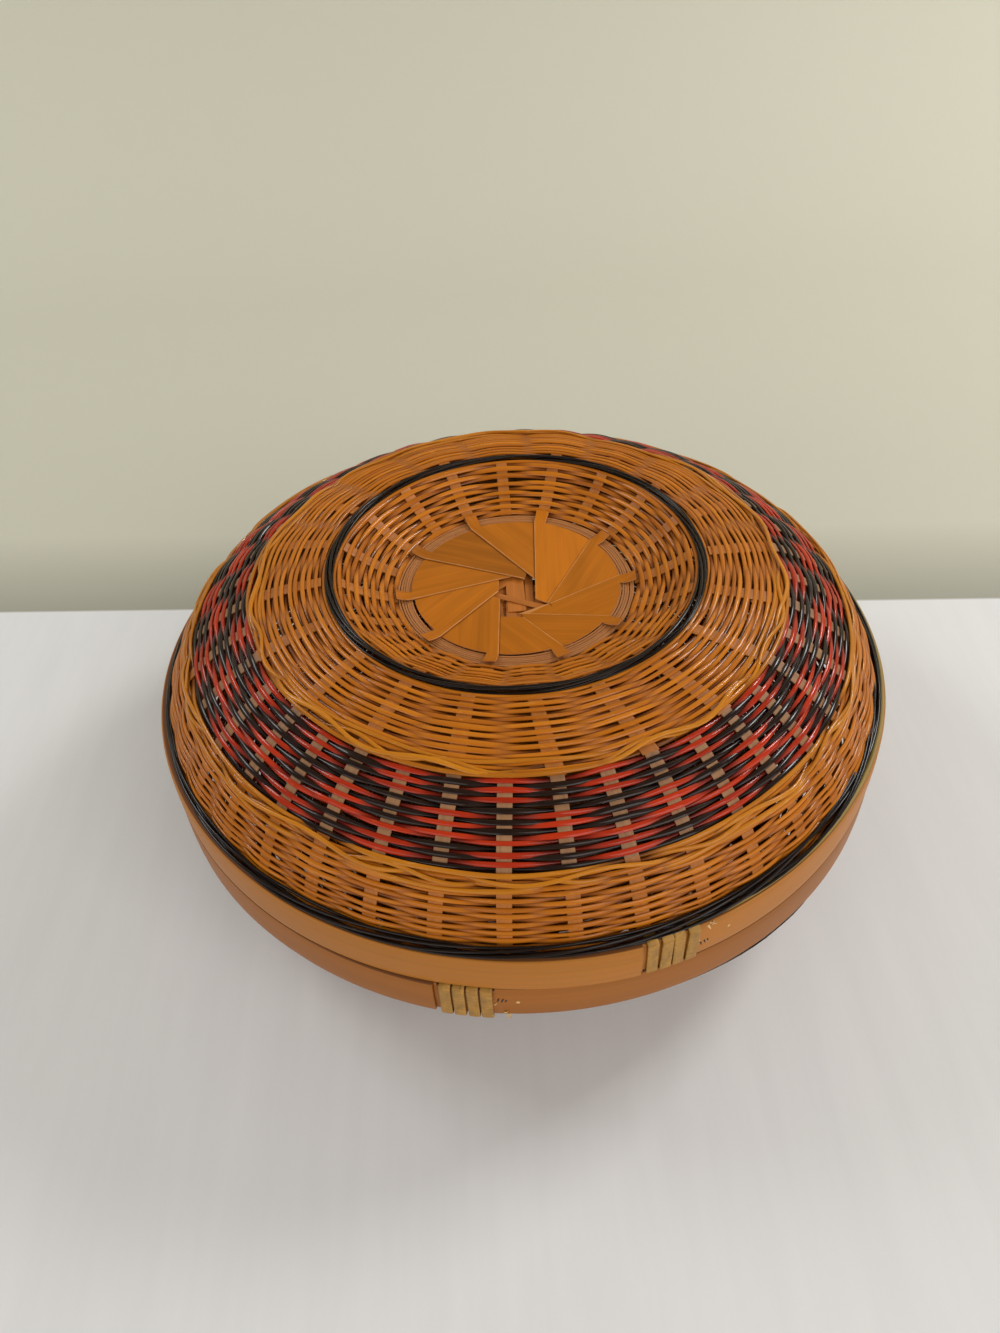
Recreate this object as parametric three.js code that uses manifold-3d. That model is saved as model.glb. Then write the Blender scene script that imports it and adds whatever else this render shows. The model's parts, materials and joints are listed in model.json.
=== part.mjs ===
import * as THREE from 'three';
import { mergeVertices } from 'three/addons/utils/BufferGeometryUtils.js';
import Module from 'manifold-3d';

const wasm = await Module();
wasm.setup();

// Woven round box: a base and a lid of cane woven on bamboo stakes, each with a bent bamboo
// hoop round its rim. The lid lifts straight up off a collar that stands inside the base.
// Millimetres, +Z up, origin on the floor under the middle of the foot ring, front along -Y.

// Rim: outer hoop, woven wall, inner hoop and collar lie inside one another
const hoopRadius = 125;
const hoopHeight = 14.4;
const hoopThickness = 2.2;
const hoopEdge = 0.5;
const wallThickness = 1.5;
const innerHoopThickness = 2;
const innerHoopHeight = 11.4;
const collarThickness = 1.6;
const collarRise = 9;
const collarDepth = 12;
const gap = 0.3;
const collarClearance = 0.4;

// Stakes: the long ones run from the rim to the medallion, and as many short ones stand
// between them from the rim to the shoulder. Every ring has one flat facet for each stake
const longStakes = 20;
const facets = 2 * longStakes;
const firstStake = -104;
const ribDepth = 0.55;

// Lap of each outer hoop, where the strip's end lies over its own start
const lapRise = 0.9;
const lapLength = 48;
const lapCut = 1e-4;

// Woven slopes: radial widths of the bands, drops in height from the crest, and how far each
// stretch bows out from a straight line
const lidCrest = 52.6;
const baseDepth = 52;
const baseTuck = 2.4;
const rimLean = 1.2;
const rimBend = 1.6;
const outerBandWidth = 12.35;
const checkBandWidth = 21.2;
const crestShare = 0.4387;
const crestDrop = 0.3;
const shoulderDrop = 6.1;
const checkDrop = 13.2;
const wellDrop = 11;
const outerBow = 1.3;
const checkBow = 1.1;
const shoulderBow = 0.9;
const wellBow = -1.3;
const slopeThickness = 2;

// Straight stretches that make up each band's curve
const outerStretches = 4;
const checkStretches = 2;
const shoulderStretches = 2;
const wellStretches = 3;

// Black wales, twined round the stakes as rings of an oval section
const rimWaleWidth = 3.9;
const rimWaleHeight = 2.6;
const rimWaleTilt = -36;
const rimWaleInset = 1.55;
const baseWaleTuck = 1.1;
const crestWaleWidth = 4.4;
const crestWaleHeight = 4;
const waleSides = 6;

// Medallion of thin bamboo blades, each lying over the next, with tabs over a splint ring
const bladeCount = 10;
const bladeHoleRadius = 8;
const bladeOuterRadius = 34.6;
const bladeThickness = 0.55;
const bladeLift = 0.3;
const bladeOverlap = 13;
const bladeTangent = 6.5;
const bladeStretches = 2;
const bladeFacets = 5;
const medallionShift = new THREE.Vector2(1, -5);
const shiftGrowth = 1.5;
const medallionDrop = 0.6;
const tabWidth = 4;
const tabRoot = 2;
const tabSetback = 0.6;
const firstTab = -106;
const tabLean = 3.5;
const tabLeanTowards = 8;
const splintWidth = 4.9;
const splintThickness = 1.2;
const strips = [
  { azimuth: -23, offset: -6.7 },
  { azimuth: 88, offset: -4.3 },
];
const stripWidth = 3.4;
const stripLength = 30;

// Cane wraps that bind the lap, and the peg that pins it
const wrapCount = 4;
const wrapWidth = 3.65;
const wrapPitch = 3.9;
const caneThickness = 1;
const pegRadius = 0.9;
const pegSides = 8;

// Where each layer of the rim begins, worked out inwards from the outer hoop
const hoopInner = hoopRadius - hoopThickness;
const wallOuter = hoopInner - gap;
const wallInner = wallOuter - wallThickness;
const innerHoopOuter = wallInner - gap;
const innerHoopInner = innerHoopOuter - innerHoopThickness;
const collarOuter = innerHoopInner - collarClearance;
const collarInner = collarOuter - collarThickness;
const wallMiddle = (wallOuter + wallInner) / 2;

// The splint ring round the medallion, and the well's floor round that
const splintInner = bladeOuterRadius + gap;
const splintOuter = splintInner + splintWidth;
const wellFloorRadius = splintOuter + gap;

// The crest stands a set share of the way from the well's floor to the check band, and the
// woven slopes end on either side of its wale
const checkInnerRadius = wallMiddle - outerBandWidth - checkBandWidth;
const crestRadius = wellFloorRadius + crestShare * (checkInnerRadius - wellFloorRadius);
const crestOuter = crestRadius + crestWaleWidth / 2 + gap;
const crestInner = crestRadius - crestWaleWidth / 2 - gap;

const woven = { color: 0xb97a30, roughness: 0.45, metalness: 0 };
const checked = { color: 0x6e2a1e, roughness: 0.4, metalness: 0 };
const black = { color: 0x2a231c, roughness: 0.4, metalness: 0 };
const bamboo = { color: 0xb9783f, roughness: 0.5, metalness: 0 };
const blade = { color: 0xae681e, roughness: 0.45, metalness: 0 };
const cane = { color: 0x967d37, roughness: 0.6, metalness: 0 };

// A point beside the middle of a straight line, on its outer side
function bowed([r0, z0], [r1, z1], bow) {
  const length = Math.hypot(r1 - r0, z1 - z0);
  return [
    (r0 + r1) / 2 + bow * (z1 - z0) / length,
    (z0 + z1) / 2 - bow * (r1 - r0) / length,
  ];
}

// The woven surface's middle line, as heights over the seam, from the rim to the medallion
function surface(crest, tuck, waleTuck) {
  const rimStart = [wallMiddle, innerHoopHeight];
  const bend = [wallMiddle - rimLean - waleTuck, hoopHeight + rimBend];
  const checkOuter = [
    wallMiddle - outerBandWidth - tuck,
    crest - crestDrop - shoulderDrop - checkDrop,
  ];
  const checkInner = [checkInnerRadius - tuck / 2, crest - crestDrop - shoulderDrop];
  const shoulderEnd = [crestOuter, crest - crestDrop];
  const wellStart = [crestInner, crest - crestDrop - gap];
  const wellEnd = [wellFloorRadius, crest - wellDrop];
  return {
    checkOuter: checkOuter[0],
    checkInner: checkInner[0],
    slope: [
      rimStart,
      bend,
      bowed(bend, checkOuter, outerBow),
      checkOuter,
      bowed(checkOuter, checkInner, checkBow),
      checkInner,
      bowed(checkInner, shoulderEnd, shoulderBow),
      shoulderEnd,
    ],
    well: [wellStart, bowed(wellStart, wellEnd, wellBow), wellEnd],
    medallion: wellEnd[1] - medallionDrop,
    waleRadius: hoopRadius - rimWaleInset - waleTuck,
  };
}

const lid = {
  name: 'lid',
  up: 1,
  seam: baseDepth + gap,
  crest: lidCrest,
  ...surface(lidCrest, 0, 0),
  wraps: -73.5,
  peg: -65.2,
  pegHeight: 8,
  lapEnd: -77.6,
};

// The base stands on the flat underside of its crest wale
const baseCrest = baseDepth - crestWaleHeight / 2 * Math.sin(Math.PI / 3);

const base = {
  name: 'base',
  up: -1,
  seam: baseDepth,
  crest: baseCrest,
  ...surface(baseCrest, baseTuck, baseWaleTuck),
  wraps: -100.1,
  peg: -93.4,
  pegHeight: 7,
  lapEnd: -104.3,
};

const radians = THREE.MathUtils.degToRad;

// Angle from the front, where a turned profile starts, to an azimuth counted from +X
function fromFront(azimuth) {
  return radians(azimuth + 90);
}

// World height of a point that lies a given distance from the seam
function level(half, height) {
  return half.seam + half.up * height;
}

function bare(geometry) {
  const copy = geometry.clone();
  copy.deleteAttribute('normal');
  copy.deleteAttribute('uv');
  return mergeVertices(copy, 1e-4);
}

function solidOf(geometry) {
  const merged = bare(geometry);
  return new wasm.Manifold(new wasm.Mesh({
    numProp: 3,
    vertProperties: new Float32Array(merged.attributes.position.array),
    triVerts: new Uint32Array(merged.index.array),
  }));
}

function geometryOf(solid) {
  const mesh = solid.getMesh();
  const geometry = new THREE.BufferGeometry();
  geometry.setAttribute('position', new THREE.BufferAttribute(mesh.vertProperties, 3));
  geometry.setIndex(new THREE.BufferAttribute(mesh.triVerts, 1));
  geometry.computeVertexNormals();
  return geometry;
}

function cut(geometry, cutters) {
  let solid = solidOf(geometry);
  for (const cutter of cutters) {
    solid = solid.subtract(solidOf(cutter));
  }
  return geometryOf(solid);
}

function piece(name, geometry, finish) {
  const mesh = new THREE.Mesh(geometry, new THREE.MeshStandardMaterial(finish));
  mesh.name = name;
  return mesh;
}

// How far a ring of flat facets reaches at an angle past a corner, as a share of its radius
function facetReach(angle) {
  const halfStep = Math.PI / facets;
  return Math.cos(halfStep) / Math.cos(angle % (2 * halfStep) - halfStep);
}

// A closed profile of [radius, height] points, turned round the box's axis from the first
// stake. Between the stakes it can follow a slimmer profile, which leaves a rib over each
function turned(profile, between = profile, ribs = longStakes) {
  const outlines = [profile, between].map((outline) => (
    outline.map(([r, z]) => new THREE.Vector2(r, z))
  ));
  if (THREE.ShapeUtils.area(outlines[0]) < 0) {
    outlines.forEach((outline) => outline.reverse());
  }
  outlines.forEach((outline) => outline.push(outline[0].clone()));
  const columns = 2 * ribs;
  const geometry = new THREE.LatheGeometry(outlines[0], columns);
  const place = geometry.attributes.position;
  for (let i = 0; i <= columns; i += 1) {
    const turn = i / columns * Math.PI * 2;
    outlines[i % 2].forEach((point, j) => {
      const radius = point.x * facetReach(turn);
      const index = i * outlines[0].length + j;
      place.setXYZ(index, radius * Math.sin(turn), point.y, radius * Math.cos(turn));
    });
  }
  geometry.rotateX(Math.PI / 2);
  geometry.rotateZ(fromFront(firstStake));
  return geometry;
}

function band(half, inner, outer, low, high) {
  return turned([
    [inner, level(half, low)],
    [outer, level(half, low)],
    [outer, level(half, high)],
    [inner, level(half, high)],
  ]);
}

// Place along a curve, as a share of its length, where it reaches a radius
function shareAt(curve, radius) {
  const halvings = 40;
  let low = 0;
  let high = 1;
  for (let i = 0; i < halvings; i += 1) {
    const middle = (low + high) / 2;
    if (curve.getPointAt(middle).x > radius) {
      low = middle;
    } else {
      high = middle;
    }
  }
  return low;
}

// Even steps along a curve, as shares of its length
function steps(from, to, count) {
  return Array.from({ length: count + 1 }, (_, i) => from + (to - from) * i / count);
}

// Outline of a strip that follows a curve and reaches as far on either side of it
function strip(half, curve, shares, reach) {
  const top = [];
  const under = [];
  for (const share of shares) {
    const p = curve.getPointAt(share);
    const t = curve.getTangentAt(share);
    top.push([p.x + t.y * reach, level(half, p.y - t.x * reach)]);
    under.unshift([p.x - t.y * reach, level(half, p.y + t.x * reach)]);
  }
  return [...top, ...under];
}

// A stretch of woven wall of even thickness
function plainBand(half, curve, shares) {
  return turned(strip(half, curve, shares, wallThickness / 2));
}

// A stretch of woven slope that stands proud over its stakes, inside and out
function ribbedBand(half, curve, shares, ribs) {
  const reach = slopeThickness / 2;
  return turned(
    strip(half, curve, shares, reach),
    strip(half, curve, shares, reach - ribDepth),
    ribs,
  );
}

function curveThrough(points) {
  return new THREE.SplineCurve(points.map(([r, z]) => new THREE.Vector2(r, z)));
}

function wale(half, radius, height, width, thick, tilt) {
  const profile = [];
  for (let i = 0; i < waleSides; i += 1) {
    const angle = i / waleSides * Math.PI * 2;
    const across = width / 2 * Math.cos(angle);
    const up = thick / 2 * Math.sin(angle);
    const lean = radians(tilt);
    profile.push([
      radius + across * Math.cos(lean) - up * Math.sin(lean),
      level(half, height + across * Math.sin(lean) + up * Math.cos(lean)),
    ]);
  }
  return turned(profile);
}

// A block centred on an azimuth, between two radii and two heights over the seam
function block(half, azimuth, inner, outer, low, high, width) {
  const geometry = new THREE.BoxGeometry(width, outer - inner, high - low);
  geometry.translate(0, -(inner + outer) / 2, 0);
  geometry.rotateZ(fromFront(azimuth));
  geometry.translate(0, 0, level(half, (low + high) / 2));
  return geometry;
}

const wrapsWidth = (wrapCount - 1) * wrapPitch + wrapWidth;
const slotWidth = wrapsWidth + 2 * gap;
const wrapTop = hoopHeight + gap + caneThickness;

// Room for the wraps: across the hoop's seam edge, through the wall above it, and down
// the outer face of the inner hoop
function seamNotch(half) {
  const outer = hoopRadius + lapRise + gap;
  return block(half, half.wraps, wallInner - gap, outer, -gap, caneThickness + gap, slotWidth);
}

function wallSlot(half) {
  const outer = hoopRadius + 3 * caneThickness;
  return block(half, half.wraps, innerHoopInner, outer, hoopHeight, wrapTop + gap, slotWidth);
}

function innerChannel(half, outer) {
  const inner = innerHoopOuter - caneThickness - gap;
  return block(half, half.wraps, inner, outer, -gap, wrapTop + gap, slotWidth);
}

function pegHole(half) {
  const hole = new THREE.CylinderGeometry(pegRadius + gap, pegRadius + gap, 3 * hoopThickness, pegSides);
  hole.translate(0, -(hoopInner + hoopThickness / 2), 0);
  hole.rotateZ(fromFront(half.peg));
  hole.translate(0, 0, level(half, half.pegHeight));
  return hole;
}

// The outer hoop: a bent strip whose last stretch rises gently over its start and ends
// square, just before the wraps
function outerHoop(half) {
  const rim = new THREE.Shape();
  const end = fromFront(half.lapEnd);
  const step = Math.PI * 2 / facets;
  const lapAngle = lapLength / hoopRadius;
  const angles = [];
  for (let i = 0; i < facets; i += 1) {
    angles.push((fromFront(firstStake) + i * step + Math.PI * 2) % (Math.PI * 2));
  }
  const behind = (angle) => (end - angle + Math.PI * 4) % (Math.PI * 2);
  const outline = angles.map((angle) => ({ angle, radius: hoopRadius }));
  for (const point of outline) {
    const away = behind(point.angle);
    if (away < lapAngle) {
      point.radius += lapRise * (1 - away / lapAngle);
    }
  }
  const turn = (end + Math.PI * 2) % (Math.PI * 2);
  outline.push({ angle: turn, radius: hoopRadius + lapRise });
  outline.push({ angle: turn + lapCut, radius: hoopRadius });
  outline.sort((a, b) => a.angle - b.angle);
  const at = ({ angle, radius }) => new THREE.Vector2(
    Math.sin(angle) * radius,
    -Math.cos(angle) * radius,
  );
  rim.setFromPoints(outline.map(at));
  const hole = angles.map((angle) => at({ angle, radius: hoopInner }));
  rim.holes.push(new THREE.Path(hole.reverse()));
  const geometry = new THREE.ExtrudeGeometry(rim, {
    depth: hoopHeight - 2 * hoopEdge,
    bevelEnabled: true,
    bevelThickness: hoopEdge,
    bevelSize: hoopEdge,
    bevelOffset: -hoopEdge,
    bevelSegments: 1,
  });
  const low = Math.min(level(half, 0), level(half, hoopHeight));
  geometry.translate(0, 0, low + hoopEdge);
  return cut(geometry, [seamNotch(half), pegHole(half)]);
}

function innerHoop(half) {
  const ring = band(half, innerHoopInner, innerHoopOuter, 0, innerHoopHeight);
  return cut(ring, [innerChannel(half, wallOuter)]);
}

// One wrap of flat cane: a closed loop round the outer hoop and the wall behind it
function wrap(half, index) {
  const inner = innerHoopOuter - caneThickness;
  const outer = hoopRadius + gap + caneThickness;
  const loop = roundedBox(inner, outer, 0, wrapTop, caneThickness);
  loop.holes.push(roundedBox(
    inner + caneThickness,
    outer - caneThickness,
    caneThickness,
    wrapTop - caneThickness,
    caneThickness / 4,
  ));
  const geometry = new THREE.ExtrudeGeometry(loop, {
    depth: wrapWidth,
    bevelEnabled: false,
    curveSegments: 1,
  });
  const offset = (index - (wrapCount - 1) / 2) * wrapPitch;
  // The loop is drawn with radius along x and height along y, and stands up facing the front
  geometry.translate(0, 0, -wrapWidth / 2);
  geometry.rotateX(Math.PI / 2);
  geometry.rotateZ(-Math.PI / 2);
  if (half.up < 0) {
    geometry.rotateY(Math.PI);
  }
  geometry.rotateZ(fromFront(half.wraps) + offset / hoopRadius);
  geometry.translate(0, 0, half.seam);
  return geometry;
}

function roundedBox(left, right, low, high, corner) {
  const shape = new THREE.Shape();
  shape.moveTo(left + corner, low);
  shape.lineTo(right - corner, low);
  shape.absarc(right - corner, low + corner, corner, -Math.PI / 2, 0);
  shape.lineTo(right, high - corner);
  shape.absarc(right - corner, high - corner, corner, 0, Math.PI / 2);
  shape.lineTo(left + corner, high);
  shape.absarc(left + corner, high - corner, corner, Math.PI / 2, Math.PI);
  shape.lineTo(left, low + corner);
  shape.absarc(left + corner, low + corner, corner, Math.PI, Math.PI * 1.5);
  return shape;
}

function peg(half) {
  const length = hoopThickness + gap;
  const pin = new THREE.CylinderGeometry(pegRadius, pegRadius, length, pegSides);
  pin.translate(0, -(hoopInner + length / 2), 0);
  pin.rotateZ(fromFront(half.peg));
  pin.translate(0, 0, level(half, half.pegHeight));
  return pin;
}

const bladePitch = 360 / bladeCount;
const bladeSpan = bladePitch + bladeOverlap;
const bladeRise = bladeThickness + bladeLift;
const tabTurn = THREE.MathUtils.radToDeg(tabWidth / bladeOuterRadius);

// How far a blade has climbed at an angle behind its open edge
function bladeClimb(behind) {
  return bladeRise * (bladeSpan - behind) / bladePitch;
}

// Where a point of the medallion lies: its open edges are tangents to a small circle, and
// the hole sits a little off the middle
function medallionPoint(radius, azimuth) {
  const lag = Math.asin(bladeTangent / radius) - Math.asin(bladeTangent / bladeOuterRadius);
  const angle = radians(azimuth) - lag;
  const inward = Math.max(0, (bladeOuterRadius - radius) / (bladeOuterRadius - bladeHoleRadius));
  return new THREE.Vector2(Math.cos(angle) * radius, Math.sin(angle) * radius)
    .addScaledVector(medallionShift, inward ** shiftGrowth);
}

// Bends a unit box to a wedge: its x becomes the radius and its y the angle behind the edge
function bendBlade(box, inner, outer, span, openEdge) {
  const place = box.attributes.position;
  for (let i = 0; i < place.count; i += 1) {
    const radius = inner + (place.getX(i) + 0.5) * (outer - inner);
    const behind = (0.5 - place.getY(i)) * span;
    const at = medallionPoint(radius, openEdge - behind);
    place.setXYZ(i, at.x, at.y, place.getZ(i) + bladeThickness / 2 + bladeClimb(behind));
  }
}

// One blade: a thin wedge that climbs from under its neighbour to its open edge, where it
// narrows to a tab that crosses the splint ring
function medallionBlade(half, tabAzimuth) {
  const openEdge = tabAzimuth + tabTurn / 2;
  const wedge = new THREE.BoxGeometry(1, 1, bladeThickness, bladeStretches, bladeFacets);
  bendBlade(wedge, bladeHoleRadius, bladeOuterRadius, bladeSpan, openEdge);
  const tab = new THREE.BoxGeometry(1, 1, bladeThickness, 1, 1);
  bendBlade(tab, bladeOuterRadius - tabRoot, splintOuter - tabSetback, tabTurn, openEdge);
  const whole = solidOf(wedge).add(solidOf(tab));
  const geometry = geometryOf(half.up > 0 ? whole : whole.mirror([0, 0, 1]));
  geometry.translate(0, 0, level(half, half.medallion));
  return geometry;
}

function splintRing(half) {
  const top = half.medallion + bladeClimb(tabTurn) - gap;
  return turned([
    [splintInner, level(half, top - splintThickness)],
    [splintOuter, level(half, top - splintThickness)],
    [splintOuter, level(half, top)],
    [splintInner, level(half, top)],
  ]);
}

// A narrow strip that crosses the hole of the medallion from under one side to the other
function centreStrip(half, index) {
  const { azimuth, offset } = strips[index];
  const geometry = new THREE.BoxGeometry(stripLength, stripWidth, bladeThickness);
  geometry.translate(0, offset, 0);
  geometry.rotateZ(radians(azimuth));
  const under = half.medallion - gap - bladeThickness / 2 - index * (bladeThickness + gap);
  geometry.translate(0, 0, level(half, under));
  return geometry;
}

function buildHalf(half) {
  const group = new THREE.Group();
  const add = (name, geometry, finish) => group.add(piece(`${half.name}_${name}`, geometry, finish));

  add('outer_hoop', outerHoop(half), bamboo);
  add('inner_hoop', innerHoop(half), bamboo);

  const side = new THREE.LineCurve(
    new THREE.Vector2(wallMiddle, caneThickness + 2 * gap),
    new THREE.Vector2(wallMiddle, innerHoopHeight - 2 * gap),
  );
  add('side_band', cut(plainBand(half, side, [0, 1]), [innerChannel(half, wallInner)]), woven);
  const slope = curveThrough(half.slope);
  const seam = gap / 2 / slope.getLength();
  const atCheck = shareAt(slope, half.checkOuter);
  const atShoulder = shareAt(slope, half.checkInner);
  add('outer_band', cut(
    plainBand(half, slope, steps(0, atCheck - seam, outerStretches)),
    [wallSlot(half), innerChannel(half, wallInner)],
  ), woven);
  add('check_band', ribbedBand(
    half, slope, steps(atCheck + seam, atShoulder - seam, checkStretches), 2 * longStakes,
  ), checked);
  add('shoulder_band', ribbedBand(
    half, slope, steps(atShoulder + seam, 1, shoulderStretches), longStakes,
  ), woven);
  add('well_band', ribbedBand(
    half, curveThrough(half.well), steps(0, 1, wellStretches), longStakes,
  ), woven);

  add('rim_wale', cut(
    wale(
      half, half.waleRadius, hoopHeight + gap + rimBend,
      rimWaleWidth, rimWaleHeight, rimWaleTilt,
    ),
    [wallSlot(half)],
  ), black);
  add('crest_wale', wale(half, crestRadius, half.crest, crestWaleWidth, crestWaleHeight, 0), black);

  add('splint_ring', splintRing(half), woven);
  for (let i = 0; i < bladeCount; i += 1) {
    const azimuth = firstTab + i * bladePitch
      + tabLean * Math.cos(radians((i - tabLeanTowards) * bladePitch));
    add(`blade_${String(i + 1).padStart(2, '0')}`, medallionBlade(half, azimuth), blade);
  }
  for (let i = 0; i < strips.length; i += 1) {
    add(`centre_strip_${i + 1}`, centreStrip(half, i), blade);
  }
  for (let i = 0; i < wrapCount; i += 1) {
    add(`rim_wrap_${i + 1}`, wrap(half, i), cane);
  }
  add('lap_peg', peg(half), bamboo);
  return group;
}

const box = new THREE.Group();
box.add(buildHalf(base));
box.add(buildHalf(lid));

const collar = band(lid, collarInner, collarOuter, -collarDepth, collarRise);
box.add(piece('base_collar', collar, bamboo));

export default box;
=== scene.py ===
"""A round box woven of cane on bamboo stakes: a base and a lid, each with a bent bamboo hoop, black
wales, a red and black checked band and a sunken medallion of bamboo blades. Metres, +Z up."""

import json
import math
import zlib

import bpy
import numpy as np
from mathutils import Euler, Matrix, Vector

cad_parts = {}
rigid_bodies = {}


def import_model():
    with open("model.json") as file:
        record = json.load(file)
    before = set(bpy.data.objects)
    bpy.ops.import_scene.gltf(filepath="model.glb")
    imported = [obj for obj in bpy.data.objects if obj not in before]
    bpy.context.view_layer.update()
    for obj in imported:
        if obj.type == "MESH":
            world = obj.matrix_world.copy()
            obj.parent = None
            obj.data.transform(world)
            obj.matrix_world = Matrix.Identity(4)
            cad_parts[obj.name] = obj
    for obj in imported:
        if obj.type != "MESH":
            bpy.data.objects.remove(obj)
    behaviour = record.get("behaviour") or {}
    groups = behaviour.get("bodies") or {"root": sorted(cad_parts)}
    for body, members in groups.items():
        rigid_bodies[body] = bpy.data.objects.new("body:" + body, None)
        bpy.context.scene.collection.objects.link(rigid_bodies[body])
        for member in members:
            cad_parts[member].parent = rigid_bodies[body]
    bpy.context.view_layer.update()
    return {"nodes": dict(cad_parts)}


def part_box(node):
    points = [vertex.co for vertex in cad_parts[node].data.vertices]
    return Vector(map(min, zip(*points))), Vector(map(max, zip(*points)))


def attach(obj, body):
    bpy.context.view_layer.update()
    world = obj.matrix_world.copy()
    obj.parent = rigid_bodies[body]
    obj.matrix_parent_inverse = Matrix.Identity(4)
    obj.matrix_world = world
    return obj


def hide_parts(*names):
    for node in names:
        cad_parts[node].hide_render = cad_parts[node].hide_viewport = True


bl_info = {
    "name": "Woven Round Box",
    "version": (1, 0, 0),
    "blender": (4, 5, 0),
    "location": "View3D > Sidebar > Woven Box",
    "description": "Builds a lidded round box of cane woven on bamboo stakes",
    "category": "Add Mesh",
}

for leftover in list(bpy.data.objects):
    bpy.data.objects.remove(leftover)
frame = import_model()


def seen_colour(red, green, blue):
    """A colour as the eye sees it, 0 to 255, as the linear numbers that shaders take"""
    shares = [value / 255 for value in (red, green, blue)]
    return tuple(s / 12.92 if s < 0.04045 else ((s + 0.055) / 1.055) ** 2.4 for s in shares)


def colour_property(name, description, *seen):
    """A colour that a user can change"""
    return bpy.props.FloatVectorProperty(
        name=name, description=description, default=seen_colour(*seen),
        subtype="COLOR", size=3, min=0.0, max=1.0,
    )


def length_property(name, description, metres):
    """A length that a user can change"""
    return bpy.props.FloatProperty(
        name=name, description=description, default=metres, unit="LENGTH", precision=5,
    )


def angle_property(name, description, degrees):
    """An angle that a user can change"""
    return bpy.props.FloatProperty(
        name=name, description=description, default=math.radians(degrees),
        subtype="ANGLE", unit="ROTATION",
    )


class WovenBoxWeave(bpy.types.PropertyGroup):
    """Sizes of the cane and of the stakes it is woven on"""

    cane_width: length_property("Cane width", "Width of a strand of cane", 0.00136)
    cane_thickness: length_property("Cane thickness", "Thickness of a strand of cane", 0.00094)
    row_pitch: length_property("Row pitch", "Distance from one row to the next", 0.00117)
    well_pitch: length_property("Well pitch", "Distance from row to row in the well", 0.0015)
    stake_thickness: length_property("Stake thickness", "Thickness of a flat stake", 0.0005)
    stake_width: length_property("Stake width", "Width of a stake under the checks", 0.0042)
    broad_width: length_property("Broad width", "Width of a long stake at the shoulder", 0.0056)
    stake_lift: length_property("Stake lift", "How far the stakes stand out of the weave", 0.0002)
    play: length_property("Play", "How far a strand strays from its row", 0.00016)
    check_cane: length_property("Check cane", "Width of a strand in the checks", 0.00144)
    well_cane: length_property("Well cane", "Width of a strand in the well", 0.0016)
    loose_cane: length_property("Loose cane", "Width of a loose strand", 0.00124)
    taper: bpy.props.FloatProperty(
        name="Taper", description="How much wider a strand looks over a stake", default=0.11,
    )
    check_taper: bpy.props.FloatProperty(
        name="Check taper", description="The same for the checks", default=0.16,
    )
    check_rows: bpy.props.IntProperty(
        name="Check rows", description="Rows in the checked band", default=18, min=6,
    )
    wale_width: length_property("Wale strand", "Width of one strand of a black wale", 0.0011)


class WovenBoxRim(bpy.types.PropertyGroup):
    """Sizes of the hoops, of their lap and of the wraps that bind it"""

    edge: length_property("Edge", "Radius of a hoop's worn edges", 0.0005)
    crown: length_property("Crown", "How far a hoop's outer face swells", 0.00025)
    lap_rise: length_property("Lap rise", "Step where a hoop's end lies on its start", 0.0009)
    lap_length: length_property("Lap length", "Length over which the end rises", 0.048)
    wrap_width: length_property("Wrap width", "Width of a wrap of flat cane", 0.0034)
    wrap_thickness: length_property("Wrap thickness", "Thickness of a wrap", 0.0009)
    wrap_pitch: length_property("Wrap pitch", "Distance between wraps", 0.0039)
    wrap_count: bpy.props.IntProperty(
        name="Wraps", description="Wraps that bind each lap", default=4, min=1,
    )


class WovenBoxMedallion(bpy.types.PropertyGroup):
    """Sizes of the medallion of blades in the bottom of a well"""

    reach: length_property("Reach", "Radius at which the blades end", 0.0352)
    thickness: length_property("Thickness", "Thickness of a blade", 0.00045)
    rise: length_property("Rise", "Height of a blade's open edge over its hidden edge", 0.0007)
    overlap: angle_property("Overlap", "How far a blade runs under its neighbour", 13)
    first_tab: angle_property("First tab", "Azimuth of the first blade's tab", -106)
    lean: angle_property("Lean", "How far the tabs crowd to one side", 3.5)
    tab_width: length_property("Tab width", "Width of a blade's tab", 0.0039)


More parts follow.
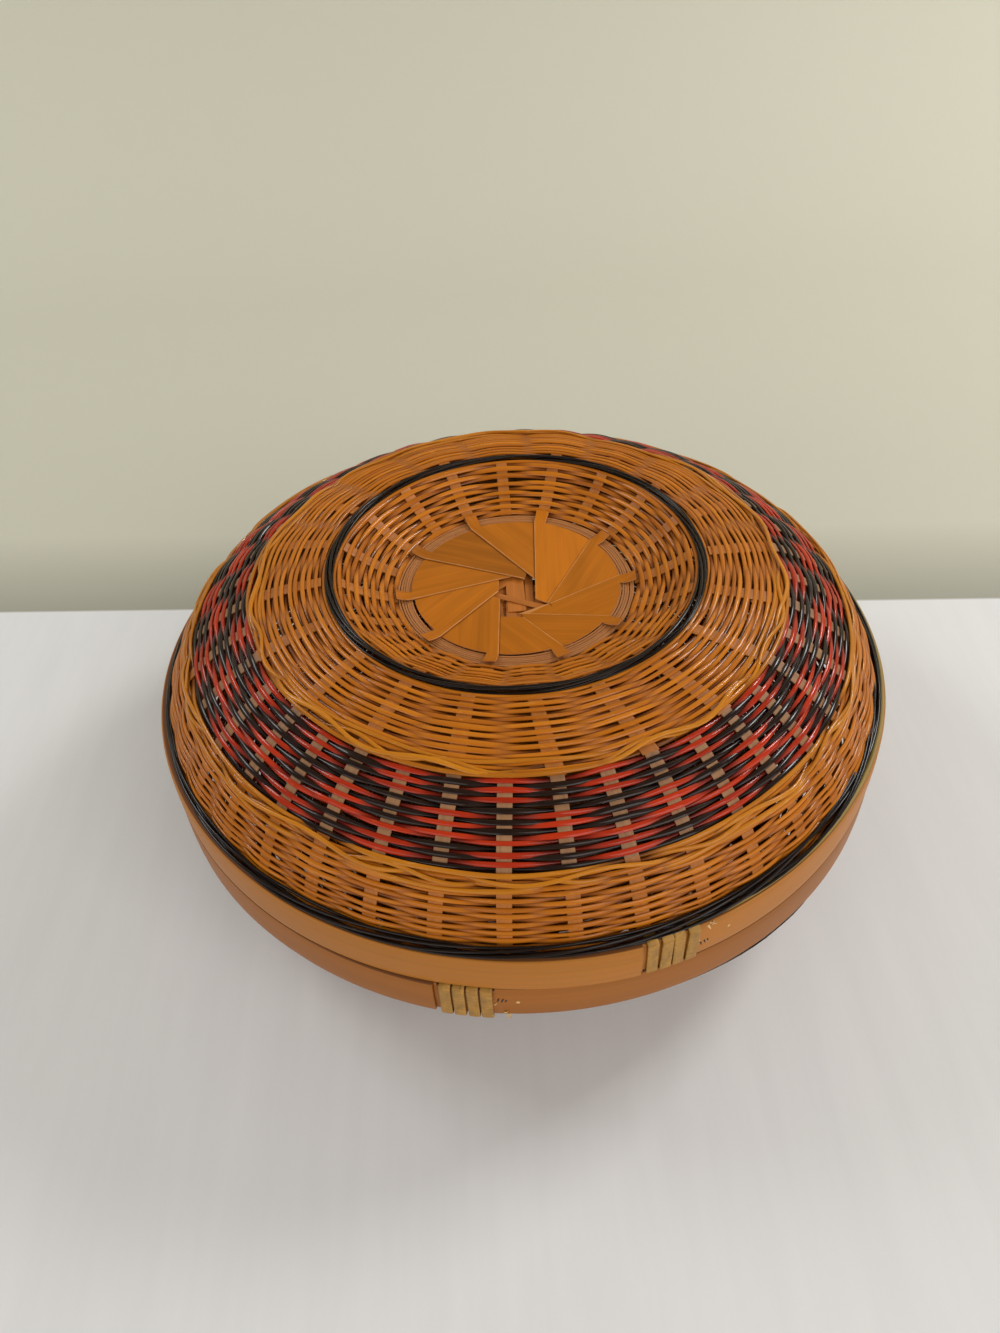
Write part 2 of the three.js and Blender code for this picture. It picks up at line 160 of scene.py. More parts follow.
class WovenBoxColours(bpy.types.PropertyGroup):
    """Colours of the split cane, the bamboo and the surroundings"""

    natural_cane: colour_property("Natural cane", "Plain varnished cane", 182, 104, 16)
    bright_cane: colour_property("Bright cane", "Paler cane of the loose strands", 186, 114, 20)
    red_cane: colour_property("Red cane", "Dyed cane of the checks", 166, 42, 9)
    black_cane: colour_property("Black cane", "Dark cane of the checks", 31, 15, 6)
    wale: colour_property("Wale", "Black cane of the wales", 24, 13, 6)
    dusty_cane: colour_property("Dusty cane", "Dust on plain cane", 172, 104, 58)
    dusty_red: colour_property("Dusty red", "Dust on red cane", 138, 68, 54)
    dusty_black: colour_property("Dusty black", "Dust on black cane", 58, 40, 31)
    stake: colour_property("Stake", "Stakes in the plain bands", 170, 102, 38)
    check_stake: colour_property("Check stake", "Stakes under the checks", 152, 110, 74)
    hoop: colour_property("Hoop", "Skin of the lid's hoops", 172, 107, 27)
    # A darker copy of the lid's hoop colour: painted shade of the lower hoops
    base_hoop: colour_property("Base hoop", "Skin of the base's hoops", 154, 91, 18)
    torn: colour_property("Torn fibre", "Broken ends of the bamboo", 214, 180, 124)
    # This colour paints the shade in the gaps at the hoops' edge beside the seam and at their far
    # face
    seam: colour_property("Seam", "Dirt along the edges that meet at the seam", 118, 70, 32)
    cut: colour_property("Cut edge", "Cut edges of the bamboo", 164, 112, 56)
    blade: colour_property("Blade", "Blades of the medallion", 173, 99, 18)
    blade_edge: colour_property("Blade edge", "Cut edges of the blades", 200, 136, 76)
    under_strip: colour_property("Under strip", "Strips across the hole", 176, 102, 34)
    splint: colour_property("Splint", "Flat strips round the medallion", 170, 110, 58)
    wrap: colour_property("Wrap", "Olive cane of the wraps", 168, 122, 52)
    filler: colour_property("Filler", "Thin cane between a hoop and its wale", 136, 112, 48)
    floor: colour_property("Floor", "Table that the box stands on", 220, 218, 215)
    backdrop: colour_property("Backdrop", "Surface behind the table", 194, 190, 171)


def chosen(group):
    """The sizes or colours of one group, as the user has set them"""
    return getattr(bpy.context.scene, "woven_box_" + group)


# Random draws

FULL_TURN = 2 * math.pi


def draws(name):
    """A source of random numbers that are the same each run for the thing of that name"""
    return np.random.default_rng(zlib.crc32(name.encode()))


def slow_wave(rng, azimuth, size, turns=5):
    """A gentle closed wave round the box, as a hand leaves it"""
    wave = np.zeros_like(azimuth)
    for turn in range(1, turns + 1):
        wave += rng.normal() * np.cos(turn * azimuth + rng.uniform(0, FULL_TURN)) / turn
    return size * wave


# Places and directions

def once_round(start, gap, count):
    """Azimuths once round the box, short of a full turn by the gap between the two ends"""
    return start + np.linspace(0, FULL_TURN - gap, count)


def polar(azimuth, radius, height):
    """Points, or directions, given by azimuth, radius and height"""
    sides = (radius * np.cos(azimuth), radius * np.sin(azimuth), height)
    return np.stack(np.broadcast_arrays(*sides), -1)


def unit(vectors):
    """Vectors brought to a length of one"""
    return vectors / np.linalg.norm(vectors, axis=-1, keepdims=True)


def length_along(points):
    """Distance travelled at each point of a path"""
    steps = np.linalg.norm(np.diff(points, axis=0), axis=1)
    return np.concatenate([[0.0], np.cumsum(steps)])


# Lines that the weave follows, taken from the frame

POINTS_PER_SPAN = 24
LONG_STAKES = 20
FIRST_LONG_STAKE = math.radians(-104)
CLEAR_STAKE = FIRST_LONG_STAKE + math.pi
NEAR_STAKE = math.radians(0.02)


def smooth(points):
    """A smooth line through points, with even steps in each span"""
    ends = [2 * points[0] - points[1], *points, 2 * points[-1] - points[-2]]
    share = np.arange(POINTS_PER_SPAN)[:, None] / POINTS_PER_SPAN
    spans = []
    for a, b, c, d in zip(ends, ends[1:], ends[2:], ends[3:]):
        cubic = 3 * b - 3 * c + d - a
        square = 2 * a - 5 * b + 4 * c - d
        spans.append(b + ((cubic * share + square) * share + (c - a)) * share / 2)
    return np.vstack([*spans, points[-1:]])


def section(node):
    """Corners of a turned piece's section, [radius, height], at a stake far from the laps"""
    points = np.array([v.co[:] for v in frame["nodes"][node].data.vertices])
    azimuth = np.arctan2(points[:, 1], points[:, 0])
    corners = np.column_stack([np.hypot(points[:, 0], points[:, 1]), points[:, 2]])
    return np.unique(corners[abs(azimuth - CLEAR_STAKE) < NEAR_STAKE].round(6), axis=0)


def middle_points(node):
    """The middle of a turned strip, [radius, height] from its outer end, as the frame has it"""
    corners = section(node)
    apart = np.linalg.norm(corners[:, None] - corners[None], axis=2)
    np.fill_diagonal(apart, np.inf)
    partner = apart.argmin(axis=1)
    pairs = {tuple(sorted((i, int(j)))) for i, j in enumerate(partner)}
    middles = np.array([(corners[i] + corners[j]) / 2 for i, j in pairs])
    return middles[np.lexsort((middles[:, 1], -middles[:, 0].round(4)))]


class SurfaceLine:
    """A smooth line of radius and height over the seam, measured along its length"""

    def __init__(self, points):
        self.curve = smooth(points)
        self.along = length_along(self.curve)
        self.length = self.along[-1]
        self.direction = unit(np.gradient(self.curve, self.along, axis=0))

    def at(self, along):
        """Radius, height, and the line's direction there"""
        columns = [*self.curve.T, *self.direction.T]
        return [np.interp(along, self.along, column) for column in columns]

    def distance_to(self, index):
        """Distance along the line to one of the points it was drawn through"""
        return self.along[index * POINTS_PER_SPAN]


class Half:
    """The lid or the base, with the lines that its bands follow"""

    def __init__(self, name, up, wraps, lap_end, peg, peg_height):
        """The wraps, the end of the lap and the peg are given by azimuth in degrees"""
        self.name = name
        self.up = up
        self.wraps = math.radians(wraps)
        self.lap_end = math.radians(lap_end)
        self.peg = math.radians(peg)
        self.peg_height = peg_height
        low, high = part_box(name + "_outer_hoop")
        self.seam = low.z if up > 0 else high.z
        self.hoop_height = high.z - low.z
        self.hoop_radius = section(name + "_outer_hoop")[:, 0].max()
        outer, check, shoulder = (
            self.heights(name + "_" + band)
            for band in ("outer_band", "check_band", "shoulder_band")
        )
        self.slope = SurfaceLine(np.vstack([
            outer[:-1], (outer[-1:] + check[:1]) / 2,
            check[1:-1], (check[-1:] + shoulder[:1]) / 2, shoulder[1:],
        ]))
        at_check = self.slope.distance_to(len(outer) - 1)
        at_shoulder = self.slope.distance_to(len(outer) + len(check) - 2)
        self.well = SurfaceLine(self.heights(name + "_well_band"))
        self.side = SurfaceLine(self.heights(name + "_side_band"))
        self.bands = {
            "side_band": (self.side, 0.0, self.side.length),
            "outer_band": (self.slope, 0.0, at_check),
            "check_band": (self.slope, at_check, at_shoulder),
            "shoulder_band": (self.slope, at_shoulder, self.slope.length),
            "well_band": (self.well, 0.0, self.well.length),
        }

    def heights(self, node):
        """A strip's middle points with heights counted from the seam"""
        points = middle_points(node)
        points[:, 1] = (points[:, 1] - self.seam) * self.up
        if points[0, 1] > points[-1, 1] and node.endswith("side_band"):
            points = points[::-1]
        return points

    def level(self, height):
        """World height of a point a given distance from the seam"""
        return self.seam + self.up * height

    def node(self, part):
        """Name of one of this half's pieces, here and in the frame"""
        return self.name + "_" + part


LID = Half("lid", 1, wraps=-73.5, lap_end=-77.6, peg=-65.2, peg_height=0.008)
BASE = Half("base", -1, wraps=-100.1, lap_end=-104.3, peg=-93.4, peg_height=0.007)
HALVES = (BASE, LID)


CROWDED_TAB = 8
STAKE_STRAY = math.radians(0.35)


def tab_azimuths():
    """Azimuths of the blades' tabs, which crowd a little to one side"""
    sizes = chosen("medallion")
    count = LONG_STAKES // 2
    turns = np.arange(count) * FULL_TURN / count
    return sizes.first_tab + turns + sizes.lean * np.cos(turns - turns[CROWDED_TAB])


def with_middles(azimuths):
    """Azimuths round the box, with one more halfway from each to the next"""
    following = np.append(azimuths[1:], azimuths[0] + FULL_TURN)
    return np.column_stack([azimuths, (azimuths + following) / 2]).ravel()


def stake_azimuths(inwards, doubled):
    """Azimuths of the stakes at a share of the way from the checks to the medallion"""
    at_medallion = with_middles(tab_azimuths())
    even = FIRST_LONG_STAKE + np.arange(LONG_STAKES) * FULL_TURN / LONG_STAKES
    even = even + draws("stakes").normal(size=LONG_STAKES) * STAKE_STRAY
    long_stakes = even + (at_medallion - even) * inwards
    return with_middles(long_stakes) if doubled else long_stakes


# Meshes gathered from tubes and slabs

SHARP_ANGLE = math.radians(48)
# Sides and squareness of the oval sections
CANE_OVAL = (10, 0.95)
STAKE_OVAL = (8, 0.35)
STRIP_OVAL = (8, 0.3)
WRAP_OVAL = (12, 0.45)
FIBRE_OVAL = (6, 0.95)


def oval(sides, squareness):
    """A rounded flat section, from -1 to 1 both ways, one point for each side"""
    angle = (np.arange(sides) + 0.5) / sides * FULL_TURN
    x, y = np.cos(angle), np.sin(angle)
    return np.sign(x) * abs(x) ** squareness, np.sign(y) * abs(y) ** squareness


def section_rings(path, across, out, width, thickness, shape, roll=0.0):
    """Rings of an oval section set across a path"""
    x, y = oval(*shape)
    x = x * np.asarray(width).reshape(-1, 1) / 2
    y = y * np.asarray(thickness).reshape(-1, 1) / 2
    cosine = np.cos(roll).reshape(-1, 1)
    sine = np.sin(roll).reshape(-1, 1)
    x, y = x * cosine - y * sine, x * sine + y * cosine
    return path[:, None] + across[:, None] * x[..., None] + out[:, None] * y[..., None]


class Pile:
    """Points and faces gathered from many strands, made into one piece at the end"""

    def __init__(self):
        self.points = []
        self.faces = []
        self.finishes = []
        self.grain = []
        self.seat = []
        self.count = 0

    def add(self, points, faces, finishes, grain, seat):
        """Adds one closed body; grain and seat have a value for each point"""
        self.points.append(points)
        self.faces.append(faces + self.count)
        self.finishes.append(finishes)
        self.grain.append(grain)
        self.seat.append(seat)
        self.count += len(points)

    def add_strip(self, path, across, out, width, thickness, seed, seat=0.0, finish=0,
                  shape=CANE_OVAL, roll=0.0):
        """A strip of oval section laid along a path, with its grain along it"""
        rings = section_rings(path, across, out, width, thickness, shape, roll)
        x, _ = oval(*shape)
        self.add_tube(rings, length_along(path), x * np.mean(width) / 2, seed, seat, finish)

    def add_tube(self, rings, along, around, seed, seat=0.0, finish=0):
        """Rings of points joined to a tube, with both ends capped"""
        count, sides = rings.shape[:2]
        index = np.arange(count * sides).reshape(count, sides)
        start, end = index[:-1], index[1:]
        beside = np.roll(start, -1, axis=1)
        walls = np.stack([start, beside, np.roll(end, -1, axis=1), end], -1).reshape(-1, 4)
        finish = np.broadcast_to(finish, sides)
        j = np.arange(sides // 2 - 1)
        cap = np.stack([j, j + 1, sides - 2 - j, sides - 1 - j], -1)
        faces = np.vstack([walls, cap[:, ::-1], cap + (count - 1) * sides])
        finishes = np.concatenate([np.tile(finish, len(start)), np.full(2 * len(cap), finish[0])])
        middle = count // 2
        a, b, c = (rings[middle, 0], rings[middle, 1], rings[(middle + 1) % count, 0])
        outward = (a + b) / 2 - rings[middle].mean(axis=0)
        if np.dot(np.cross(b - a, c - a), outward) < 0:
            faces = faces[:, ::-1]
        grain = np.empty((count, sides, 3))
        grain[..., 0] = along[:, None]
        grain[..., 1] = around
        grain[..., 2] = seed
        seats = np.broadcast_to(np.asarray(seat, float).reshape(-1, 1), (count, sides))
        self.add(rings.reshape(-1, 3), faces, finishes, grain.reshape(-1, 3), seats.ravel())

    def add_slab(self, top, bottom, cells, grain, edge_finish, seats):
        """A thin slab over the marked cells of a grid, with walls round its edge"""
        rows, columns = top.shape[:2]
        index = np.arange(rows * columns).reshape(rows, columns)
        under = index + rows * columns
        r, c = np.nonzero(cells)
        above = np.stack([index[r, c], index[r + 1, c], index[r + 1, c + 1], index[r, c + 1]], -1)
        below = above[:, ::-1] + rows * columns
        marked = np.pad(cells, 1)
        walls = []
        for step, first, second in (
            ((-1, 0), (0, 1), (0, 0)), ((1, 0), (1, 0), (1, 1)),
            ((0, -1), (0, 0), (1, 0)), ((0, 1), (1, 1), (0, 1)),
        ):
            open_side = ~marked[r + 1 + step[0], c + 1 + step[1]]
            a = (r[open_side] + first[0], c[open_side] + first[1])
            b = (r[open_side] + second[0], c[open_side] + second[1])
            walls.append(np.stack([index[b], index[a], under[a], under[b]], -1))
        walls = np.vstack(walls)
        faces = np.vstack([above, below, walls])
        finishes = np.concatenate([np.zeros(2 * len(above), int), np.full(len(walls), edge_finish)])
        points = np.concatenate([top.reshape(-1, 3), bottom.reshape(-1, 3)])
        a, b, d = (points[above[0, k]] for k in (0, 1, 3))
        if np.dot(np.cross(b - a, d - a), points[above[0, 0]] - points[below[0, 3]]) < 0:
            faces = faces[:, ::-1]
        used, new = np.unique(faces, return_inverse=True)
        grain = np.tile(grain.reshape(-1, 3), (2, 1))
        self.add(points[used], new.reshape(faces.shape), finishes, grain[used], seats[used])

    def make(self, half, part, slot, kinds, nodes=(), sharp=SHARP_ANGLE):
        """One object that rides with its half and stands for the frame's nodes"""
        name = half.node(part)
        nodes = nodes or [name]
        mesh = bpy.data.meshes.new(name)
        mesh.from_pydata(np.vstack(self.points), [], np.vstack(self.faces))
        mesh.polygons.foreach_set("material_index", np.concatenate(self.finishes).astype(np.int32))
        mesh.polygons.foreach_set("use_smooth", np.ones(len(mesh.polygons), bool))
        grain = mesh.attributes.new("grain", "FLOAT_VECTOR", "POINT")
        grain.data.foreach_set("vector", np.vstack(self.grain).astype(np.float32).ravel())
        seat = mesh.attributes.new("seat", "FLOAT", "POINT")
        seat.data.foreach_set("value", np.concatenate(self.seat).astype(np.float32))
        mesh.set_sharp_from_angle(angle=sharp)
        for kind in kinds:
            mesh.materials.append(finish(kind))
        piece = put_in_scene(name, mesh)
        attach(piece, half.name)
        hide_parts(*nodes)
        return piece


def put_in_scene(name, data):
    """A new object made of a mesh, a lamp or a camera"""
    made = bpy.data.objects.new(name, data)
    bpy.context.scene.collection.objects.link(made)
    return made


def on_surface(half, line, along, azimuth, lift):
    """Points over the woven surface, the way across the rows and the way out of the surface"""
    radius, height, run, rise = line.at(along)
    centre = polar(azimuth, radius + rise * lift, half.level(height - run * lift))
    return centre, polar(azimuth, run, half.up * rise), polar(azimuth, rise, -half.up * run)


# Finishes

class Shading:
    """A material and the nodes that feed it"""

    def __init__(self, name):
        self.material = bpy.data.materials.new(name)
        self.material.use_nodes = True
        self.tree = self.material.node_tree
        self.surface = self.tree.nodes["Principled BSDF"]

    def put(self, value, socket):
        """Links a node's output to an input, or sets the input to a plain value"""
        if isinstance(value, bpy.types.NodeSocket):
            self.tree.links.new(value, socket)
        else:
            socket.default_value = value

    def feed(self, name, value):
        """Links or sets one of the surface's inputs"""
        self.put(value, self.surface.inputs[name])

    def node(self, kind, inputs, output=0, **settings):
        """Adds a node, sets or links its inputs, and gives one of its outputs"""
        made = self.tree.nodes.new("ShaderNode" + kind)
        for key, value in settings.items():
            setattr(made, key, value)
        for socket, value in inputs.items():
            self.put(value, made.inputs[socket])
        return made.outputs[output]

    def attribute(self, name, output):
        """A number or vector that the mesh keeps at each point"""
        return self.node("Attribute", {}, output, attribute_name=name)

    def math(self, operation, a, b=0.0, c=0.0):
        """One sum of up to three numbers"""
        return self.node("Math", {0: a, 1: b, 2: c}, operation=operation)

    def times(self, a, b):
        """One number times another"""
        return self.math("MULTIPLY", a, b)

    def blend(self, a, factor, b):
        """One number times a factor, and another added"""
        return self.math("MULTIPLY_ADD", a, factor, b)

    def axis(self, vector, name):
        """One of the three numbers of a vector"""
        return self.node("SeparateXYZ", {0: vector}, name)

    def spread(self, value, low, high, new_low=0.0, new_high=1.0):
        """Maps a range of values to another and stops at its ends"""
        return self.node("MapRange", {0: value, 1: low, 2: high, 3: new_low, 4: new_high})

    def noise(self, coordinates, scale, detail=2.0, roughness=0.5):
        """Noise stretched by a scale for each axis"""
        stretched = self.node("VectorMath", {0: coordinates, 1: scale}, operation="MULTIPLY")
        inputs = {"Vector": stretched, "Scale": 1.0, "Detail": detail, "Roughness": roughness}
        return self.node("TexNoise", inputs)

    def mix(self, factor, a, b):
        """Mixes two colours"""
        return self.node("Mix", {0: factor, 6: a, 7: b}, 2, data_type="RGBA")

    def bump(self, height, distance, strength):
        """Fine relief, too small to be cut into the mesh"""
        inputs = {"Height": height, "Distance": distance, "Strength": strength}
        self.feed("Normal", self.node("Bump", inputs))


def tone(colour, brightness=1.0, warmth=0.0):
    """A lighter or darker version of a colour, with alpha"""
    red, green, blue = colour
    shifted = (red * (1 + warmth), green, blue * (1 - warmth))
    return tuple(min(1.0, value * brightness) for value in shifted) + (1.0,)


def cane_finish(name, colour, worn, dust, dustiness, gloss):
    """Varnished split cane: fibres along it, uneven colour, worn tops, dust along its sides and
    where it dives behind a stake, and painted shade that darkens it where it dives"""
    shading = Shading(name)
    grain = shading.attribute("grain", "Vector")
    seat = shading.attribute("seat", "Fac")
    fibres = shading.noise(grain, (90, 7000, 1.0), 3.0, 0.6)
    patches = shading.noise(grain, (45, 300, 1.7))
    strand = shading.noise(grain, (0.0, 0.0, 7.31), 0.0)
    uneven = shading.blend(fibres, 0.3, shading.times(patches, 0.6))
    uneven = shading.math("ADD", uneven, shading.blend(strand, 1.2, -0.55))
    level = shading.spread(uneven, 0.2, 0.75)
    base = shading.mix(level, tone(colour, 0.68, 0.12), tone(colour, 1.22, -0.04))
    specks = shading.spread(shading.noise(grain, (260, 900, 3.1), 3.0, 0.7), 0.6, 0.74)
    wear = shading.times(shading.spread(seat, 0.6, 1.0), specks)
    base = shading.mix(shading.times(wear, 0.3), base, tone(worn))
    across = shading.math("ABSOLUTE", shading.axis(grain, "Y"))
    side = shading.times(shading.spread(across, 0.0003, 0.00075), 0.12)
    slope = shading.times(shading.spread(seat, 0.5, -0.35), dustiness)
    cloud = shading.spread(shading.noise(grain, (150, 420, 5.3)), 0.34, 0.6)
    dusty = shading.times(shading.math("MAXIMUM", side, slope), cloud)
    base = shading.mix(dusty, base, tone(dust))
    # Painted shade: the strand darkens as it dives behind a stake, in place of the shadow there
    painted_dive_shade = shading.spread(seat, 0.35, -0.75, 0.0, 0.85)
    shading.feed("Base Color", shading.mix(painted_dive_shade, base, tone(colour, 0.2, 0.35)))
    shading.feed("Roughness", shading.blend(dusty, 0.35, shading.blend(fibres, 0.12, gloss)))
    shading.feed("Specular IOR Level", 0.08)
    shading.feed("Coat Weight", 0.36)
    shading.feed("Coat Roughness", 0.09)
    shading.bump(fibres, 0.00004, 0.5)
    return shading.material


def bamboo_finish(name, colour, streak, gloss, contrast):
    """Smooth bamboo skin: long pale and dark streaks, a satin face and a few specks"""
    shading = Shading(name)
    grain = shading.attribute("grain", "Vector")
    streaks = shading.noise(grain, streak, 3.0, 0.65)
    broad = shading.noise(grain, (streak[0] * 1.5, streak[1] / 9, 1.0))
    piece = shading.noise(grain, (0.0, 0.0, 5.77), 0.0)
    uneven = shading.blend(streaks, 0.5, shading.times(broad, 0.5))
    uneven = shading.math("ADD", uneven, shading.blend(piece, 0.5, -0.25))
    level = shading.spread(uneven, 0.28, 0.72)
    base = shading.mix(level, tone(colour, 1 - contrast), tone(colour, 1 + contrast * 0.7, 0.03))
    specks = shading.noise(grain, (420, 1500, 2.0), 2.0, 0.7)
    dark = shading.times(shading.spread(specks, 0.68, 0.78), 0.5)
    shading.feed("Base Color", shading.mix(dark, base, tone(colour, 0.45)))
    shading.feed("Roughness", shading.blend(streaks, 0.2, gloss))
    shading.feed("Specular IOR Level", 0.3)
    shading.bump(streaks, 0.00006, 0.5)
    return shading.material


def blade_finish(name, colour, edge):
    """A bamboo blade: streaks along its open edge, a pale line there that is partly worn cut edge
    and partly painted highlight, and a painted shadow where the next blade's edge lies on it"""
    shading = Shading(name)
    grain = shading.attribute("grain", "Vector")
    beside = shading.attribute("seat", "Fac")
    streaks = shading.noise(grain, (14, 1000, 1.0), 4.0, 0.68)
    broad = shading.noise(grain, (30, 260, 1.0))
    blade = shading.noise(grain, (0.0, 0.0, 5.77), 0.0)
    uneven = shading.blend(streaks, 0.45, shading.times(broad, 0.55))
    uneven = shading.math("ADD", uneven, shading.blend(blade, 0.9, -0.45))
    level = shading.spread(uneven, 0.22, 0.78)
    base = shading.mix(level, tone(colour, 0.7), tone(colour, 1.26, 0.02))
    # Pale line along the open edge: the worn cut edge, with a painted highlight where the edge
    # catches the light
    pale_edge_width = shading.times(shading.noise(grain, (160, 0.0, 3.0), 3.0, 0.7), 0.0007)
    worn = shading.math("SUBTRACT", pale_edge_width, shading.axis(grain, "Y"))
    base = shading.mix(shading.spread(worn, 0.0, 0.00012, 0.0, 0.8), base, tone(edge))
    # Painted shadow: a dark line where the next blade's open edge lies on this one
    shade = shading.spread(beside, 0.0, 0.0006, 0.6, 0.0)
    shading.feed("Base Color", shading.mix(shade, base, tone(colour, 0.2)))
    shading.feed("Specular IOR Level", 0.12)
    shading.feed("Roughness", shading.blend(streaks, 0.2, 0.3))
    shading.bump(streaks, 0.00005, 0.5)
    return shading.material


def wrap_finish(name, colour):
    """Flat olive cane: fine cracks across it, dark specks and a waxy face"""
    shading = Shading(name)
    grain = shading.attribute("grain", "Vector")
    cracks = shading.noise(grain, (2600, 250, 1.0), 2.0, 0.6)
    patches = shading.noise(grain, (260, 420, 1.0), 3.0)
    level = shading.spread(shading.blend(cracks, 0.45, shading.times(patches, 0.55)), 0.3, 0.7)
    base = shading.mix(level, tone(colour, 0.55), tone(colour, 1.3))
    specks = shading.noise(grain, (900, 1100, 1.0), 2.0, 0.8)
    base = shading.mix(shading.spread(specks, 0.62, 0.7, 0.0, 0.75), base, tone(colour, 0.22))
    shading.feed("Base Color", base)
    shading.feed("Roughness", shading.blend(patches, 0.25, 0.35))
    shading.feed("Specular IOR Level", 0.3)
    shading.bump(cracks, 0.00012, 0.7)
    return shading.material


WORN_CANE = seen_colour(232, 176, 96)
WORN_RED = seen_colour(220, 130, 70)
WORN_DARK = seen_colour(96, 66, 42)
# Colour, worn colour, colour of the dust, how dusty, and roughness
CANE_FINISHES = {
    "plain_cane": ("natural_cane", WORN_CANE, "dusty_cane", 0.5, 0.26),
    "bright_cane": ("bright_cane", WORN_CANE, "dusty_cane", 0.4, 0.24),
    "red_cane": ("red_cane", WORN_RED, "dusty_red", 0.5, 0.22),
    "dark_cane": ("black_cane", WORN_DARK, "dusty_black", 0.55, 0.22),
    "wale_cane": ("wale", WORN_DARK, "black_cane", 0.3, 0.22),
}
# Colour, how fine its streaks are along and across, roughness, and how far the streaks differ
BAMBOO_FINISHES = {
    "stake": ("stake", (60, 5000, 1.0), 0.4, 0.28),
    "check_stake": ("check_stake", (60, 6500, 1.0), 0.45, 0.3),
    "lid_hoop_skin": ("hoop", (4, 1100, 1.0), 0.34, 0.2),
    # The base's hoops take a darker copy of the hoop colour, as painted shade of the lower hoops
    "base_hoop_skin": ("base_hoop", (4, 1100, 1.0), 0.34, 0.2),
    # Painted shade for the dark gaps along the hoops' edges
    "seam_dirt": ("seam", (12, 5200, 1.0), 0.6, 0.3),
    "torn_fibre": ("torn", (60, 5200, 1.0), 0.6, 0.2),
    "rim_cane": ("filler", (40, 4200, 1.0), 0.4, 0.35),
    "cut_bamboo": ("cut", (12, 5200, 1.0), 0.55, 0.35),
    "blade_edge": ("blade_edge", (24, 4200, 1.0), 0.45, 0.25),
    "under_strip": ("under_strip", (24, 4200, 1.0), 0.45, 0.3),
    "splint": ("splint", (24, 4200, 1.0), 0.45, 0.25),
}
MADE_FINISHES = {}


def finish(kind):
    """The finish of that name, made once; the frame's own materials have other names"""
    palette = chosen("colours")
    if kind in MADE_FINISHES:
        return MADE_FINISHES[kind]
    if kind in CANE_FINISHES:
        colour, worn, dust, dustiness, gloss = CANE_FINISHES[kind]
        colour, dust = getattr(palette, colour), getattr(palette, dust)
        made = cane_finish(kind, colour, worn, dust, dustiness, gloss)
    elif kind in BAMBOO_FINISHES:
        colour, streak, gloss, contrast = BAMBOO_FINISHES[kind]
        made = bamboo_finish(kind, getattr(palette, colour), streak, gloss, contrast)
    elif kind == "blade_skin":
        made = blade_finish(kind, palette.blade, palette.blade_edge)
    else:
        made = wrap_finish(kind, palette.wrap)
    MADE_FINISHES[kind] = made
    return made


# Weaving

# Steps along a strand from one stake to the next
SAMPLES_PER_GAP = 9
SAMPLES_PER_WIDE_GAP = 15
# How closely a strand presses on a stake, as a share of half their two thicknesses
PRESSED = 0.88
# How much strands differ in width, how much each swells and thins, how far it twists, and the
# gap between its ends
CANE_VARIES = 0.05
CANE_SWELLS = 0.07
CANE_TWISTS = 0.2
CANE_GAP = 0.002


def stake_count_at(azimuth, stakes):
    """How many stakes lie behind an azimuth, with the share of the way to the next"""
    turns = [stakes - FULL_TURN, stakes, stakes + FULL_TURN, stakes[:1] + 2 * FULL_TURN]
    turns = np.concatenate(turns)
    return np.interp(azimuth, turns, np.arange(len(turns)) - len(stakes))


def weave_sides(position, sides):
    """Which side of the surface a strand is on, +1 out to -1 in, as it passes from stake to stake"""
    stake = np.floor(position).astype(int)
    share = (1 - np.cos(math.pi * (position - stake))) / 2
    here = sides[stake % len(sides)]
    there = sides[(stake + 1) % len(sides)]
    return here + (there - here) * share


def lay_strand(pile, half, line, row, stakes, sides, seed, finish_index=0, stray=0.0,
               lift=0.0, width=None, taper=None, samples=SAMPLES_PER_GAP):
    """Lays one strand once round the box, in front of some stakes and behind the others"""
    sizes = chosen("weave")
    rng = draws(f"{half.name} strand {seed}")
    start = stakes[int(rng.choice(np.flatnonzero(sides < 0)))]
    azimuth = once_round(start, CANE_GAP, len(stakes) * samples + 1)
    position = stake_count_at(azimuth, stakes)
    side = weave_sides(position, sides)
    reach = (sizes.stake_thickness + sizes.cane_thickness) / 2 * PRESSED
    at_stakes = rng.normal(size=(4, len(stakes)))
    shifted, raised, twisted, swollen = (weave_sides(position, each) for each in at_stakes)
    along = row + sizes.play * (shifted + slow_wave(rng, azimuth, 1.0)) + stray
    depth = side * reach + lift * (side + 1) / 2 + sizes.play * raised / 2
    centre, across, out = on_surface(half, line, np.clip(along, 0, line.length), azimuth, depth)
    width = width or sizes.cane_width
    width = width * (1 + CANE_VARIES * rng.normal() + CANE_SWELLS * swollen)
    width = width * (1 + (taper or sizes.taper) * side)
    # The seat, which side of the stakes the strand is on, lets the cane finish wear its tops, dust
    # it, and paint shade where it dives behind a stake
    pile.add_strip(centre, across, out, width, sizes.cane_thickness, rng.uniform(0, 90),
                   side, finish_index, roll=CANE_TWISTS * twisted)


def alternate(count, odd):
    """Over one, under one"""
    sides = np.ones(count)
    sides[(odd + 1) % 2::2] = -1
    return sides


def wandering_sides(rng, count):
    """Mostly over, now and then under"""
    sides = np.ones(count)
    k = 0
    while k < count:
        k += int(rng.integers(2, 5))
        sides[k % count] = -1
        k += 1
    return sides


